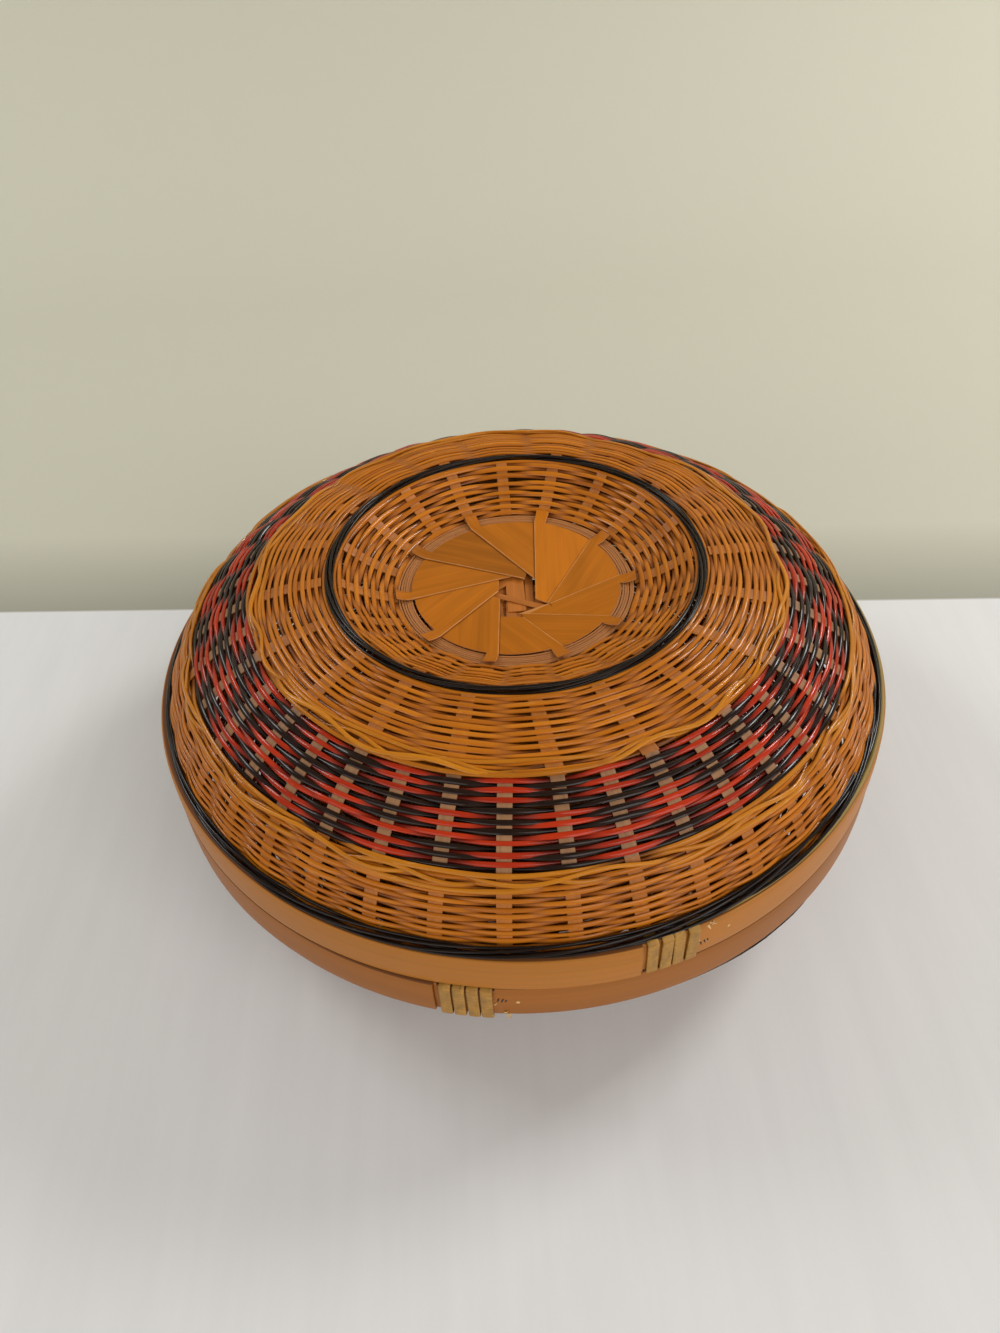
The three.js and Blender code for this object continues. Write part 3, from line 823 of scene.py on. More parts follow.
def plain_band(pile, half, band, pitch, doubled, inwards, first=0, left_out=0, width=None):
    """Rows of plain cane, over one and under one, from the first to all but the last few"""
    line, low, high = half.bands[band]
    rows = round((high - low) / pitch)
    samples = SAMPLES_PER_GAP if doubled else SAMPLES_PER_WIDE_GAP
    for row in range(first, rows - left_out):
        share = (row + 0.5) / rows
        stakes = stake_azimuths(inwards(share), doubled)
        lay_strand(pile, half, line, low + share * (high - low), stakes,
                   alternate(len(stakes), row % 2), f"{band} {row}", width=width,
                   samples=samples)


def checked_band(pile, half):
    """Red and black rows by turns, which change places from block to block"""
    sizes = chosen("weave")
    line, low, high = half.bands["check_band"]
    stakes = stake_azimuths(0.0, True)
    block = sizes.check_rows // 3
    for row in range(sizes.check_rows):
        odd = row % 2
        red = odd != (row // block == 1)
        lay_strand(pile, half, line, low + (row + 0.5) / sizes.check_rows * (high - low),
                   stakes, alternate(len(stakes), odd), f"check {row}", 0 if red else 1,
                   width=sizes.check_cane, taper=sizes.check_taper)


# Loose strands along a band's edge: distance in from it, sway, waves round the box, and lift
WANDERERS = (
    (0.0004, 0.0002, 5, 0.0006), (0.0021, 0.0012, 16, 0.0011),
    (0.0025, 0.0012, 19, 0.0007), (0.0046, 0.0005, 12, 0.0003),
)


def wanderers(pile, half, band, edge, inwards, doubled):
    """Loose strands that ride over the rows at a band's edge and cross one another to and fro"""
    line = half.bands[band][0]
    stakes = stake_azimuths(0.0, doubled)
    azimuth = np.linspace(0, FULL_TURN, len(stakes) * SAMPLES_PER_GAP + 1)
    for index, (place, sway, waves, lift) in enumerate(WANDERERS):
        rng = draws(f"{half.name} {band} wanderer {index}")
        phase = waves * azimuth + slow_wave(rng, azimuth, 0.8) + rng.uniform(0, FULL_TURN)
        lay_strand(pile, half, line, edge + inwards * place, stakes,
                   wandering_sides(rng, len(stakes)), f"{band} wanderer {index}", 1,
                   stray=sway * np.cos(phase), lift=lift, width=chosen("weave").loose_cane)


# Slot and finishes of each band
BAND_FINISHES = {
    "side_band": ("natural_cane", ["plain_cane"]),
    "outer_band": ("natural_cane", ["plain_cane", "bright_cane"]),
    "check_band": ("checked_cane", ["red_cane", "dark_cane"]),
    "shoulder_band": ("natural_cane", ["plain_cane", "bright_cane"]),
    "well_band": ("natural_cane", ["plain_cane"]),
}


def build_bands(half):
    """The five woven bands of one half"""
    sizes = chosen("weave")
    pitch = sizes.row_pitch
    piles = {band: Pile() for band in BAND_FINISHES}
    outer, shoulder = piles["outer_band"], piles["shoulder_band"]
    plain_band(piles["side_band"], half, "side_band", pitch, True, lambda share: 0.0)
    plain_band(outer, half, "outer_band", pitch, True, lambda share: 0.0, left_out=1)
    wanderers(outer, half, "outer_band", half.bands["outer_band"][2], -1, True)
    checked_band(piles["check_band"], half)
    plain_band(shoulder, half, "shoulder_band", pitch, False, lambda share: share, first=1)
    wanderers(shoulder, half, "shoulder_band", half.bands["shoulder_band"][1], 1, False)
    plain_band(piles["well_band"], half, "well_band", sizes.well_pitch, False,
               lambda share: 1.0, width=sizes.well_cane)
    for band, (slot, kinds) in BAND_FINISHES.items():
        piles[band].make(half, band, slot, kinds)


STAKE_STEP = 0.0016


def lay_stake(pile, half, line, low, high, azimuths, widths, seed, finish_index):
    """One flat stake along the surface, from one place on the line to another"""
    sizes = chosen("weave")
    along = np.linspace(low, high, max(3, int((high - low) / STAKE_STEP)))
    azimuth = np.interp(along, [low, high], azimuths)
    centre, across, out = on_surface(half, line, along, azimuth, sizes.stake_lift)
    width = np.interp(along, [low, high], widths)
    pile.add_strip(centre, np.cross(across, out), out, width, sizes.stake_thickness, seed,
                   finish=finish_index, shape=STAKE_OVAL)


def build_stakes(half):
    """The twenty long stakes that run from the rim to the medallion, and the twenty short ones
    that stand between them from the rim to the shoulder"""
    sizes = chosen("weave")
    pile = Pile()
    rng = draws(half.name + " stakes")
    at_crest = stake_azimuths(1.0, False)
    slope, check, shoulder = half.bands["check_band"]
    for index, azimuth in enumerate(stake_azimuths(0.0, True)):
        turn = [azimuth, azimuth]
        width = [sizes.stake_width * rng.uniform(0.94, 1.06)] * 2
        seed = rng.uniform(0, 90)
        lay_stake(pile, half, half.side, 0.0, half.side.length, turn, width, seed, 0)
        lay_stake(pile, half, slope, 0.0, check, turn, width, seed, 0)
        lay_stake(pile, half, slope, check, shoulder, turn, width, seed, 1)
        if index % 2 == 0:
            crest = at_crest[index // 2]
            broad = sizes.broad_width * rng.uniform(0.95, 1.05)
            lay_stake(pile, half, slope, shoulder, slope.length, [azimuth, crest],
                      [broad, width[0]], seed, 0)
            lay_stake(pile, half, half.well, 0.0, half.well.length, [crest, crest],
                      width, seed, 0)
    pile.make(half, "stakes", "natural_cane", ["stake", "check_stake"],
              [half.node(band) for band in half.bands])


WALE_STRANDS = 5
# Steps along a wale's strand for each time that it goes round the others, the azimuth from one
# strand's start to the next one's, thickness beside width, and the gap between the ends
WALE_SAMPLES = 30
WALE_STEP = 0.4
WALE_FLATNESS = 0.7
WALE_GAP = 0.003
# How often the strands go round one another, the wale's tilt in degrees, how far it reaches
# across and in depth, and the strands' width beside the one that is set
WALES = {
    "rim_wale": (5, -38, 0.0015, 0.0005, 0.975),
    "crest_wale": (3, 0, 0.0012, 0.0008, 0.9),
}
# Where a wale stands out or sinks in: azimuth, half-width of the stretch, how far, and how much
# narrower it gets
SWELLS = {
    "base_rim_wale": ((-54, 11, 0.0011, 0.0),),
    "lid_rim_wale": ((178, 48, -0.0016, 0.0009), (-18, 36, -0.0019, 0.0)),
}
# The olive cane in the step between the rim's wale and its hoop: from which azimuth to which,
# steps along it, how far in and up from the hoop's edge, how far it strays outwards and upwards,
# and thickness
FILLER_STRETCH = (-71, 44)
FILLER_STEPS = 120
FILLER_IN = 0.0013
FILLER_UP = 0.0007
FILLER_STRAY = (0.00005, 0.00006)
FILLER_THICKNESS = 0.0009
# The same for the plain rows on both sides of the crest's wale, from the wale's middle
ROW_STEPS = 361
ROW_ASIDE = 0.0017
ROW_DOWN = 0.0007
ROW_STRAY = (0.00008, -0.00006)
ROW_THICKNESS = 0.0011
LEVEL_CANE_WIDTH = 0.0015


def lay_level_cane(pile, half, name, azimuth, radius, height, stray, thickness, seat, index):
    """A cane laid level round the box, as a hand leaves it"""
    rng = draws(f"{half.name} {name}")
    radius = radius + slow_wave(rng, azimuth, stray[0], 9)
    height = height + half.up * slow_wave(rng, azimuth, stray[1], 9)
    pile.add_strip(polar(azimuth, radius, height), polar(azimuth, 1.0, 0.0),
                   polar(azimuth, 0.0, half.up), LEVEL_CANE_WIDTH, thickness,
                   rng.uniform(0, 90), seat, index)


def build_wale(half, part):
    """A black wale: five strands laid slowly round one another in one ring"""
    twists, tilt, reach, depth, share = WALES[part]
    middle_radius, middle_height = section(half.node(part)).mean(axis=0)
    pile = Pile()
    rng = draws(half.name + part)
    lean = math.radians(tilt) * half.up
    count = twists * WALE_SAMPLES + 1
    for strand in range(WALE_STRANDS):
        azimuth = once_round(math.pi / 2 + strand * WALE_STEP, WALE_GAP, count)
        phase = twists * azimuth + strand * FULL_TURN / WALE_STRANDS
        phase = phase + slow_wave(rng, azimuth, 0.35, 8)
        stands_out, narrower = np.zeros((2, count))
        for place, stretch, height, drawn in SWELLS.get(half.node(part), ()):
            apart = (np.degrees(azimuth) - place + 180) % 360 - 180
            near = np.exp(-(apart / stretch) ** 2)
            stands_out += height * near
            narrower += drawn * near
        wide = (reach - narrower) * np.cos(phase)
        deep = depth * np.sin(phase) * half.up
        radius = middle_radius + wide * math.cos(lean) - deep * math.sin(lean)
        radius = radius + slow_wave(rng, azimuth, 0.0001, 9) + stands_out
        height = middle_height + wide * math.sin(lean) + deep * math.cos(lean)
        height = height + slow_wave(rng, azimuth, 0.0001, 9)
        across = polar(azimuth, math.cos(lean), math.sin(lean))
        out = polar(azimuth, -math.sin(lean), math.cos(lean)) * half.up
        width = chosen("weave").wale_width * rng.uniform(0.85, 1.1) * share
        roll = 0.5 * np.cos(phase) + slow_wave(rng, azimuth, 0.1, 7)
        # The seat runs from 0.1 where a strand lies under the others to 0.9 on top; the cane finish
        # dusts and paints shade at the low end and wears the high end
        pile.add_strip(polar(azimuth, radius, height), across, out, width,
                       width * WALE_FLATNESS, rng.uniform(0, 90), 0.5 + 0.4 * np.sin(phase),
                       roll=roll)
    if part == "rim_wale":
        azimuth = np.radians(np.linspace(*FILLER_STRETCH, FILLER_STEPS))
        height = half.level(half.hoop_height + FILLER_UP)
        lay_level_cane(pile, half, "filler", azimuth, half.hoop_radius - FILLER_IN, height,
                       FILLER_STRAY, FILLER_THICKNESS, 0.0, 1)
    else:
        azimuth = once_round(0.0, WALE_GAP, ROW_STEPS)
        height = middle_height - half.up * ROW_DOWN
        for side in (-1, 1):
            lay_level_cane(pile, half, f"crest row {side}", azimuth,
                           middle_radius + side * ROW_ASIDE, height, ROW_STRAY, ROW_THICKNESS,
                           0.5, 2)
    pile.make(half, part, "black_cane", ["wale_cane", "rim_cane", "plain_cane"])


# Hoops and collar

def rounded_section(inner, outer, low, high, edge, crown):
    """Closed [radius, height] outlines of a band, one for each entry, with round edges"""
    ones = np.ones_like(outer)
    sections = []
    for middle_radius, middle_height, start in (
        (outer - edge, high - edge, 0.0), (inner + edge, high - edge, math.pi / 2),
        (inner + edge, low + edge, math.pi), (outer - edge, low + edge, 1.5 * math.pi),
    ):
        for turn in np.linspace(0, math.pi / 2, 4):
            sections.append((
                middle_radius + edge * math.cos(start + turn) * ones,
                middle_height + edge * math.sin(start + turn) * ones,
            ))
    for share in np.linspace(0, 1, 6)[1:-1]:
        sections.append((
            outer + crown * 4 * share * (1 - share),
            low + edge + share * (high - low - 2 * edge),
        ))
    return np.array(sections).transpose(2, 0, 1)


def turn_band(half, outlines, azimuth):
    """Rings of points from [radius, height] outlines set at azimuths"""
    return polar(azimuth[:, None], outlines[..., 0], half.level(outlines[..., 1]))


# Finishes round a hoop's section: skin outside, cut sides, and painted shade where gaps fall dark,
# on the edge beside the seam and on the flat face at the far edge
HOOP_FINISH = np.array([0, 0, 0, 2, 1, 1, 1, 1, 1, 1, 1, 2, 2, 2, 0, 0, 0, 0, 0, 0])
HOOP_STEPS = 541
HOOP_GAP = 0.001
HOOP_STRAY = 0.00006
# The notch's steep sides take up this much azimuth
NOTCH_SIDE = 1e-4
# Azimuth from the end of the lap to the hoop's start
END_GAP = 0.0005
# How much wider and deeper than the wraps their notch is
NOTCH_PLAY = 0.0004
NOTCH_DEPTH = 0.0002
# Half of the thickness of the wall between the hoops, and the room between it and the outer one
HALF_WALL = 0.00075
WALL_GAP = 0.0003


def hoop_strip(half, part, inner, outer, low, high, notched, lapped):
    """A bent bamboo strip: round edges, a swelling outer face, a notch in the edge at the seam
    for the wraps, if notched, and its end over its start, if lapped"""
    sizes = chosen("rim")
    start = half.lap_end + END_GAP
    azimuth = once_round(start, HOOP_GAP, HOOP_STEPS)
    room = (sizes.wrap_count * sizes.wrap_pitch / 2 + NOTCH_PLAY) / half.hoop_radius
    wraps = half.wraps + (FULL_TURN if half.wraps < start else 0.0)
    if notched:
        sides = wraps + np.array([-room - NOTCH_SIDE, -room, room, room + NOTCH_SIDE])
        azimuth = np.sort(np.concatenate([azimuth, sides]))
    before_end = (azimuth[-1] - azimuth) * outer
    rise = sizes.lap_rise * np.clip(1 - before_end / sizes.lap_length, 0, 1) * lapped
    notch = (abs(azimuth - wraps) <= room + 1e-9) * notched
    ones = np.ones(len(azimuth))
    outlines = rounded_section(
        inner * ones, outer + rise, low + notch * (sizes.wrap_thickness + NOTCH_DEPTH),
        high * ones, sizes.edge, sizes.crown,
    )
    rng = draws(half.node(part))
    outlines[..., 0] += slow_wave(rng, azimuth, HOOP_STRAY, 7)[:, None] * lapped
    across = outlines[..., 1] + outlines[..., 0] * 0.7
    pile = Pile()
    pile.add_tube(turn_band(half, outlines, azimuth), azimuth * outer, across,
                  rng.uniform(0, 90), 0.0, HOOP_FINISH)
    pile.make(half, part, "bamboo_hoop", [half.name + "_hoop_skin", "cut_bamboo", "seam_dirt"])


def build_hoops(half):
    """The outer and inner hoops of one half"""
    wall_face = half.side.curve[0, 0] + HALF_WALL + WALL_GAP
    hoop_strip(half, "outer_hoop", wall_face, half.hoop_radius, 0.0, half.hoop_height, 1, 1)
    radii, heights = section(half.node("inner_hoop")).T
    hoop_strip(half, "inner_hoop", radii.min(), radii.max(), 0.0, np.ptp(heights), 1, 0)


def build_collar():
    """The collar that stands inside the base's rim and that the lid fits over"""
    radii, heights = section("base_collar").T
    hoop_strip(BASE, "collar", radii.min(), radii.max(), BASE.seam - heights.max(),
               BASE.seam - heights.min(), 0, 0)


# Medallion

# Where each blade's open edge ends beside the hole, and where its inner edge ends out of sight
BLADE_TIPS = (
    ((-0.0056, -0.0080), (-0.0105, -0.0032)),
    ((0.0017, -0.0176), (-0.0100, -0.0156)),
    ((0.0013, -0.0158), (-0.0015, -0.0205)),
    ((0.0102, -0.0117), (0.0000, -0.0152)),
    ((0.0098, -0.0112), (0.0135, -0.0168)),
    ((0.0061, -0.0087), (0.0138, -0.0132)),
    ((0.0067, 0.0014), (0.0105, -0.0060)),
    ((0.0031, 0.0020), (0.0046, 0.0090)),
    ((-0.0056, 0.0025), (0.0030, 0.0058)),
    ((-0.0060, -0.0038), (-0.0052, 0.0070)),
)
SPLINT_REACH = 0.0403
# Points along a blade to the splint ring and over it, and across its tab and the rest of it
BLADE_POINTS = 15
TAB_POINTS = 7
TAB_LINES = 5
WEDGE_LINES = 14
# Height of a blade over the floor of the well at its hidden edge, how far a tab turns up and
# twists, and how far a blade bows
BLADE_BASE = 0.0003
TAB_RISE = 0.0016
TAB_TWIST = 0.0005
BLADE_BOW = 0.00022
# How far a blade's end falls back from the circle, and from which share of its width on
END_SAG = 0.025
SAG_START = 0.55
# Length of the shortest blade beside the longest, how round the cut edges are worn, and how
# sharp an edge has to be to be worn or to stay sharp to the eye
SHORTEST_BLADE = 0.97
WORN_EDGE = 0.0001
WORN_ANGLE = math.radians(50)
BLADE_SHARP = math.radians(30)


def from_edge(place, tip, rim):
    """Distances along a blade's open edge and in from it"""
    along = (rim - tip) / np.linalg.norm(rim - tip)
    inwards = np.array([along[1], -along[0]])
    return (place - tip) @ along, (place - tip) @ inwards


def build_blade(half, index, tab):
    """One blade: a thin wedge that climbs from under its neighbour to its open edge, where it
    narrows to a tab that crosses the splint ring and turns up into the well"""
    sizes = chosen("medallion")
    rng = draws(f"{half.name} blade {index}")
    span = 2 * FULL_TURN / LONG_STAKES + sizes.overlap
    tab_turn = sizes.tab_width / sizes.reach
    reach = sizes.reach * rng.uniform(SHORTEST_BLADE, 1.0)
    tip, hidden = (np.array(point) for point in BLADE_TIPS[index])
    over_ring = 1 + np.arange(1, TAB_POINTS + 1) / TAB_POINTS
    share = np.concatenate([np.linspace(0, 1, BLADE_POINTS), over_ring])
    tab_share = tab_turn / span
    across = np.concatenate([
        np.linspace(0, tab_share, TAB_LINES), np.linspace(tab_share, 1, WEDGE_LINES)[1:],
    ])
    u, v = np.meshgrid(share, across, indexing="ij")
    on_blade = np.clip(u, 0, 1)
    past = np.clip(u - 1, 0, 1)
    turn = tab + tab_turn / 2 - v * span
    hidden_share = np.clip((v - SAG_START) / (1 - SAG_START), 0, 1)
    bowed = reach * (1 - END_SAG * hidden_share ** 3)
    outward = polar(turn, 1.0, 0.0)[..., :2]
    inner = tip + (hidden - tip) * v[..., None]
    place = inner + (outward * bowed[..., None] - inner) * on_blade[..., None]
    place = place + outward * (past * (SPLINT_REACH - reach))[..., None]
    low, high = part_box(half.node("blade_01"))
    under = low.z if half.up > 0 else high.z
    height = sizes.rise * (1 - v) + BLADE_BASE + TAB_RISE * past ** 2
    height = height + TAB_TWIST * past * (v / tab_share - 0.5) * rng.normal()
    bow = np.sin(math.pi * on_blade) * np.sin(math.pi * v)
    height = height + BLADE_BOW * bow * rng.uniform(0, 1)
    top = np.concatenate([place, (under + half.up * (height + sizes.thickness))[..., None]], -1)
    bottom = np.concatenate([place, (under + half.up * height)[..., None]], -1)
    cells = np.ones((len(share) - 1, len(across) - 1), bool)
    cells[BLADE_POINTS - 1:, TAB_LINES - 1:] = False
    rim = bowed[0, 0] * outward[0, 0]
    grain = np.stack([*from_edge(place, tip, rim), np.full_like(u, rng.uniform(0, 90))], -1)
    # How far each point lies from the next blade's open edge, where the blade finish paints that
    # edge's shadow; the underside, open to the air, gets none
    next_turn = tab_azimuths()[index - 1] + tab_turn / 2
    next_rim = polar(next_turn, sizes.reach, 0.0)[:2]
    beside = -from_edge(place, np.array(BLADE_TIPS[index - 1][0]), next_rim)[1]
    open_air = np.ones(beside.size)
    pile = Pile()
    pile.add_slab(top, bottom, cells, grain, 1, np.concatenate([beside.ravel(), open_air]))
    piece = pile.make(half, f"blade_{index + 1:02d}", "bamboo_blade",
                      ["blade_skin", "blade_edge"], sharp=BLADE_SHARP)
    soften(piece)


def soften(piece):
    """Rounds a piece's cut edges a little"""
    bevel = piece.modifiers.new("worn edges", "BEVEL")
    bevel.width = WORN_EDGE
    bevel.segments = 2
    bevel.limit_method = "ANGLE"
    bevel.angle_limit = WORN_ANGLE


SPLINTS = 6
SPLINT_STEPS = 181
SPLINT_GAP = 0.004
# Half of a strip's width beside the distance from one to the next, radius of its edges, and how
# much higher every other one lies
HALF_SPLINT = 0.44
SPLINT_EDGE = 0.0002
SPLINT_STEP = 0.0001


def build_splint_ring(half):
    """Six narrow strips laid side by side round the medallion"""
    radii, heights = section(half.node("splint_ring")).T
    inner, outer = radii.min(), radii.max()
    floor = min((heights - half.seam) * half.up)
    thickness = np.ptp(heights)
    pile = Pile()
    pitch = (outer - inner) / SPLINTS
    for index in range(SPLINTS):
        rng = draws(f"{half.name} splint {index}")
        azimuth = once_round(rng.uniform(0, 6), SPLINT_GAP, SPLINT_STEPS)
        middle = inner + (index + 0.5) * pitch + slow_wave(rng, azimuth, 0.00008)
        raised = SPLINT_STEP * (index % 2) + slow_wave(rng, azimuth, 0.00006)
        outlines = rounded_section(
            middle - pitch * HALF_SPLINT, middle + pitch * HALF_SPLINT, floor + raised,
            floor + thickness - SPLINT_STEP + raised, SPLINT_EDGE, 0.0,
        )
        pile.add_tube(turn_band(half, outlines, azimuth), azimuth * outer,
                      outlines[..., 0] + outlines[..., 1], rng.uniform(0, 90))
    pile.make(half, "splint_ring", "natural_cane", ["splint"])


# Strips across the hole: one end, other end, width, and height over the frame's strip
STRIPS = (
    (((-0.0072, -0.0047), (0.0105, -0.0132), 0.0024, 0.0010),),
    (((-0.0004, 0.0090), (-0.0002, -0.0130), 0.0062, 0.0013),
     ((-0.0090, -0.0010), (0.0020, 0.0062), 0.0034, 0.0011),
     ((0.0046, 0.0100), (0.0040, -0.0160), 0.0028, 0.0006),
     ((-0.0018, -0.0060), (-0.0024, -0.0225), 0.0036, 0.0009),
     ((-0.0056, -0.0060), (-0.0060, -0.0220), 0.0015, 0.0006),
     ((-0.0010, -0.0130), (0.0120, -0.0165), 0.0036, 0.0007),
     ((-0.0180, -0.0016), (0.0190, 0.0004), 0.0037, 0.0001),
     ((-0.0200, -0.0052), (0.0180, -0.0032), 0.0037, 0.0000),
     ((-0.0190, -0.0088), (0.0200, -0.0068), 0.0037, 0.0001),
     ((-0.0170, -0.0124), (0.0190, -0.0104), 0.0037, 0.0000),
     ((-0.0190, -0.0160), (0.0170, -0.0140), 0.0037, 0.0001),
     ((-0.0160, -0.0196), (0.0180, -0.0176), 0.0037, 0.0000)),
)
# Points along a strip, how deep it sinks into the frame's strip, how far it waves up and down,
# and how far it tips to one side
STRIP_POINTS = 13
STRIP_THICKNESS = 0.0004
STRIP_SINK = 0.0003
STRIP_WAVE = 0.00008
STRIP_TIP = 0.05


def build_centre_strips(half, index):
    """Narrow strips that cross the hole of the medallion, one over the other"""
    part = f"centre_strip_{index + 1}"
    low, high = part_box(half.node(part))
    near = low.z if half.up < 0 else high.z
    pile = Pile()
    share = np.linspace(0, 1, STRIP_POINTS)
    for layer, (start, end, width, rise) in enumerate(STRIPS[index]):
        rng = draws(f"{half.name} strip {index} {layer}")
        wave = STRIP_WAVE * np.sin(share * math.pi * 3 + rng.uniform(0, 6))
        path = np.column_stack([
            np.interp(share, [0, 1], [start[0], end[0]]),
            np.interp(share, [0, 1], [start[1], end[1]]),
            near + half.up * (rise - STRIP_SINK + wave),
        ])
        heading = unit((path[-1] - path[0]) * [1, 1, 0])
        across = np.tile([-heading[1], heading[0], 0.0], (STRIP_POINTS, 1))
        out = np.tile([0.0, 0.0, half.up], (STRIP_POINTS, 1))
        pile.add_strip(path, across, out, width, STRIP_THICKNESS, 31.0 + 7 * index + layer,
                       shape=STRIP_OVAL, roll=STRIP_TIP * rng.normal())
    pile.make(half, part, "bamboo_blade", ["under_strip"])


# Bindings

LOOP_GAP = 0.0002
LOOP_CORNER = 0.0011


def rounded_loop(left, right, low, high, corner):
    """A closed rounded box as a path, from the middle of its left side"""
    turn = np.linspace(0, math.pi / 2, 7)
    middle = (low + high) / 2
    points = [(left, middle), (left, low + corner * 2)]
    for x, y, start in (
        (left + corner, low + corner, math.pi), (right - corner, low + corner, 1.5 * math.pi),
        (right - corner, high - corner, 0.0), (left + corner, high - corner, 0.5 * math.pi),
    ):
        for angle in start + turn:
            points.append((x + corner * math.cos(angle), y + corner * math.sin(angle)))
        if start == 1.5 * math.pi:
            straight = high - low - 2 * corner
            points += [(right, low + corner + straight * k / 8) for k in range(1, 8)]
    points += [(left, high - corner * 2), (left, middle + LOOP_GAP)]
    return np.array(points)


# How far a wrap reaches in from the hoop's face, how high it stands over the hoop, and the share
# of the lap's rise that lies under it
WRAP_REACH = 0.0053
WRAP_RISE = 0.0003
LAP_SHARE = 0.4
# How far the wraps lean to one side or the other on their way up the hoop
WRAP_LEAN = 0.012


def build_wrap(half, index):
    """One wrap of flat cane round the hoop's lap and the wall behind it"""
    sizes = chosen("rim")
    rng = draws(f"{half.name} wrap {index}")
    thick = sizes.wrap_thickness
    swell = half.hoop_radius + sizes.lap_rise * LAP_SHARE
    loop = rounded_loop(
        half.hoop_radius - WRAP_REACH + thick / 2, swell + thick / 2 + rng.uniform(0, 0.0001),
        thick / 2, half.hoop_height + thick / 2 + WRAP_RISE, LOOP_CORNER,
    )
    offset = (index - (sizes.wrap_count - 1) / 2) * sizes.wrap_pitch
    lean = rng.normal() * WRAP_LEAN
    azimuth = half.wraps + offset / half.hoop_radius
    sideways = polar(azimuth + math.pi / 2, 1.0, 0.0)
    path = polar(azimuth, loop[:, 0], 0.0) + loop[:, 1:] * lean * sideways
    path[:, 2] = half.level(loop[:, 1])
    across = np.tile(sideways, (len(loop), 1))
    out = np.cross(unit(np.gradient(path, axis=0)), across)
    width = sizes.wrap_width * rng.uniform(0.93, 1.02)
    pile = Pile()
    pile.add_strip(path, across, out, width, thick, rng.uniform(0, 90), shape=WRAP_OVAL)
    pile.make(half, f"rim_wrap_{index + 1}", "wrap_cane", ["olive_cane"])


# Torn fibres near the lap, from the middle of the wraps: azimuth, height, and each end's step on
# the hoop (around, up, out) in millimetres, with the finish: 0 pale, 1 dark
TORN = (
    (2.6, 13.9, (1.3, 0.5, 0.9), 0), (3.0, 13.6, (0.9, -0.4, 1.1), 0),
    (5.1, 14.2, (1.5, 0.2, 1.0), 0), (5.7, 14.0, (-1.1, 0.5, 0.9), 0),
    (4.9, 13.3, (0.8, -1.6, 0.5), 0), (4.0, 7.2, (0.6, -2.4, 0.3), 1),
    (4.5, 7.6, (0.7, -2.6, 0.3), 1), (5.0, 7.2, (0.5, -1.6, 0.3), 1),
    (3.5, 9.4, (1.0, -2.1, 0.3), 0),
)
MILLIMETRE = 0.001
FIBRE_WIDTH = 0.001
FIBRE_THICKNESS = 0.00025
# How much narrower a fibre is at its end, and how far its root stands out of the hoop
FIBRE_TAPER = 0.8
FIBRE_LIFT = 0.0001


def add_torn_fibres(pile, half):
    """Short fibres that stand out of the hoop where the lap was bound"""
    share = np.linspace(0, 1, 6)
    for index, (turn, height, (around, up, outward), kind) in enumerate(TORN):
        step = share * around * MILLIMETRE / half.hoop_radius
        azimuth = half.wraps + math.radians(turn) + step
        bulge = outward * MILLIMETRE * np.sin(share * math.pi / 2) ** 2
        path = polar(azimuth, half.hoop_radius + FIBRE_LIFT + bulge,
                     half.level((height + share * up) * MILLIMETRE))
        heading = unit(np.gradient(path, axis=0))
        across = unit(np.cross(heading, polar(azimuth, 1.0, 0.0)))
        rings = section_rings(path, across, np.cross(across, heading),
                              FIBRE_WIDTH * (1 - FIBRE_TAPER * share), FIBRE_THICKNESS,
                              FIBRE_OVAL)
        pile.add_tube(rings, length_along(path), 0.0, 5.0 + index, 0.0, kind)


PEG_SIDES = 14
PEG_ROUGHNESS = 0.12
# The peg's rings: distance out from the hoop's face, and radius
PEG_PROFILE = (
    (-0.0024, 0.0008), (-0.0001, 0.0008), (0.0001, 0.00078), (0.0003, 0.0005), (0.00034, 0.0001),
)


def build_peg(half):
    """The bamboo peg through the lap, with its head broken off rough"""
    rng = draws(half.node("lap_peg"))
    outwards = polar(half.peg, 1.0, 0.0)
    sideways = polar(half.peg + math.pi / 2, 1.0, 0.0)
    turn = np.arange(PEG_SIDES) / PEG_SIDES * FULL_TURN
    rings = []
    for out, radius in PEG_PROFILE:
        rough = radius * (1 + PEG_ROUGHNESS * rng.normal(size=PEG_SIDES) * (out > 0))
        ring = ((half.hoop_radius + out) * outwards
                + np.outer(rough * np.cos(turn), sideways)
                + np.outer(rough * np.sin(turn), [0, 0, 1]))
        ring[:, 2] += half.level(half.peg_height)
        rings.append(ring)
    pile = Pile()
    along = np.array([out for out, _ in PEG_PROFILE])
    pile.add_tube(np.array(rings), along, turn * PEG_PROFILE[0][1], 3.0)
    add_torn_fibres(pile, half)
    pile.make(half, "lap_peg", "bamboo_hoop", ["torn_fibre", "wale_cane"])


# Surroundings

FOCAL_LENGTH = 36 * 1000 / 1333
CAMERA_PLACE = (-0.00694, -0.26188, 0.30847)
CAMERA_PITCH = math.radians(43.95)
CAMERA_ROLL = math.radians(-3.38)
# The floor's reach, the bend where it turns up, how far off that is, and the backdrop's height
FLOOR_REACH = 2.5
FLOOR_BEND = 0.3
FLOOR_END = 0.75
BACKDROP_TOP = 2.2
# Slope and place of the line where the table ends, and how soft that edge and its shade are
TABLE_SLOPE = 0.0693
TABLE_EDGE = (0.0988, 0.1002)
EDGE_SHADE = (0.1, 0.16)
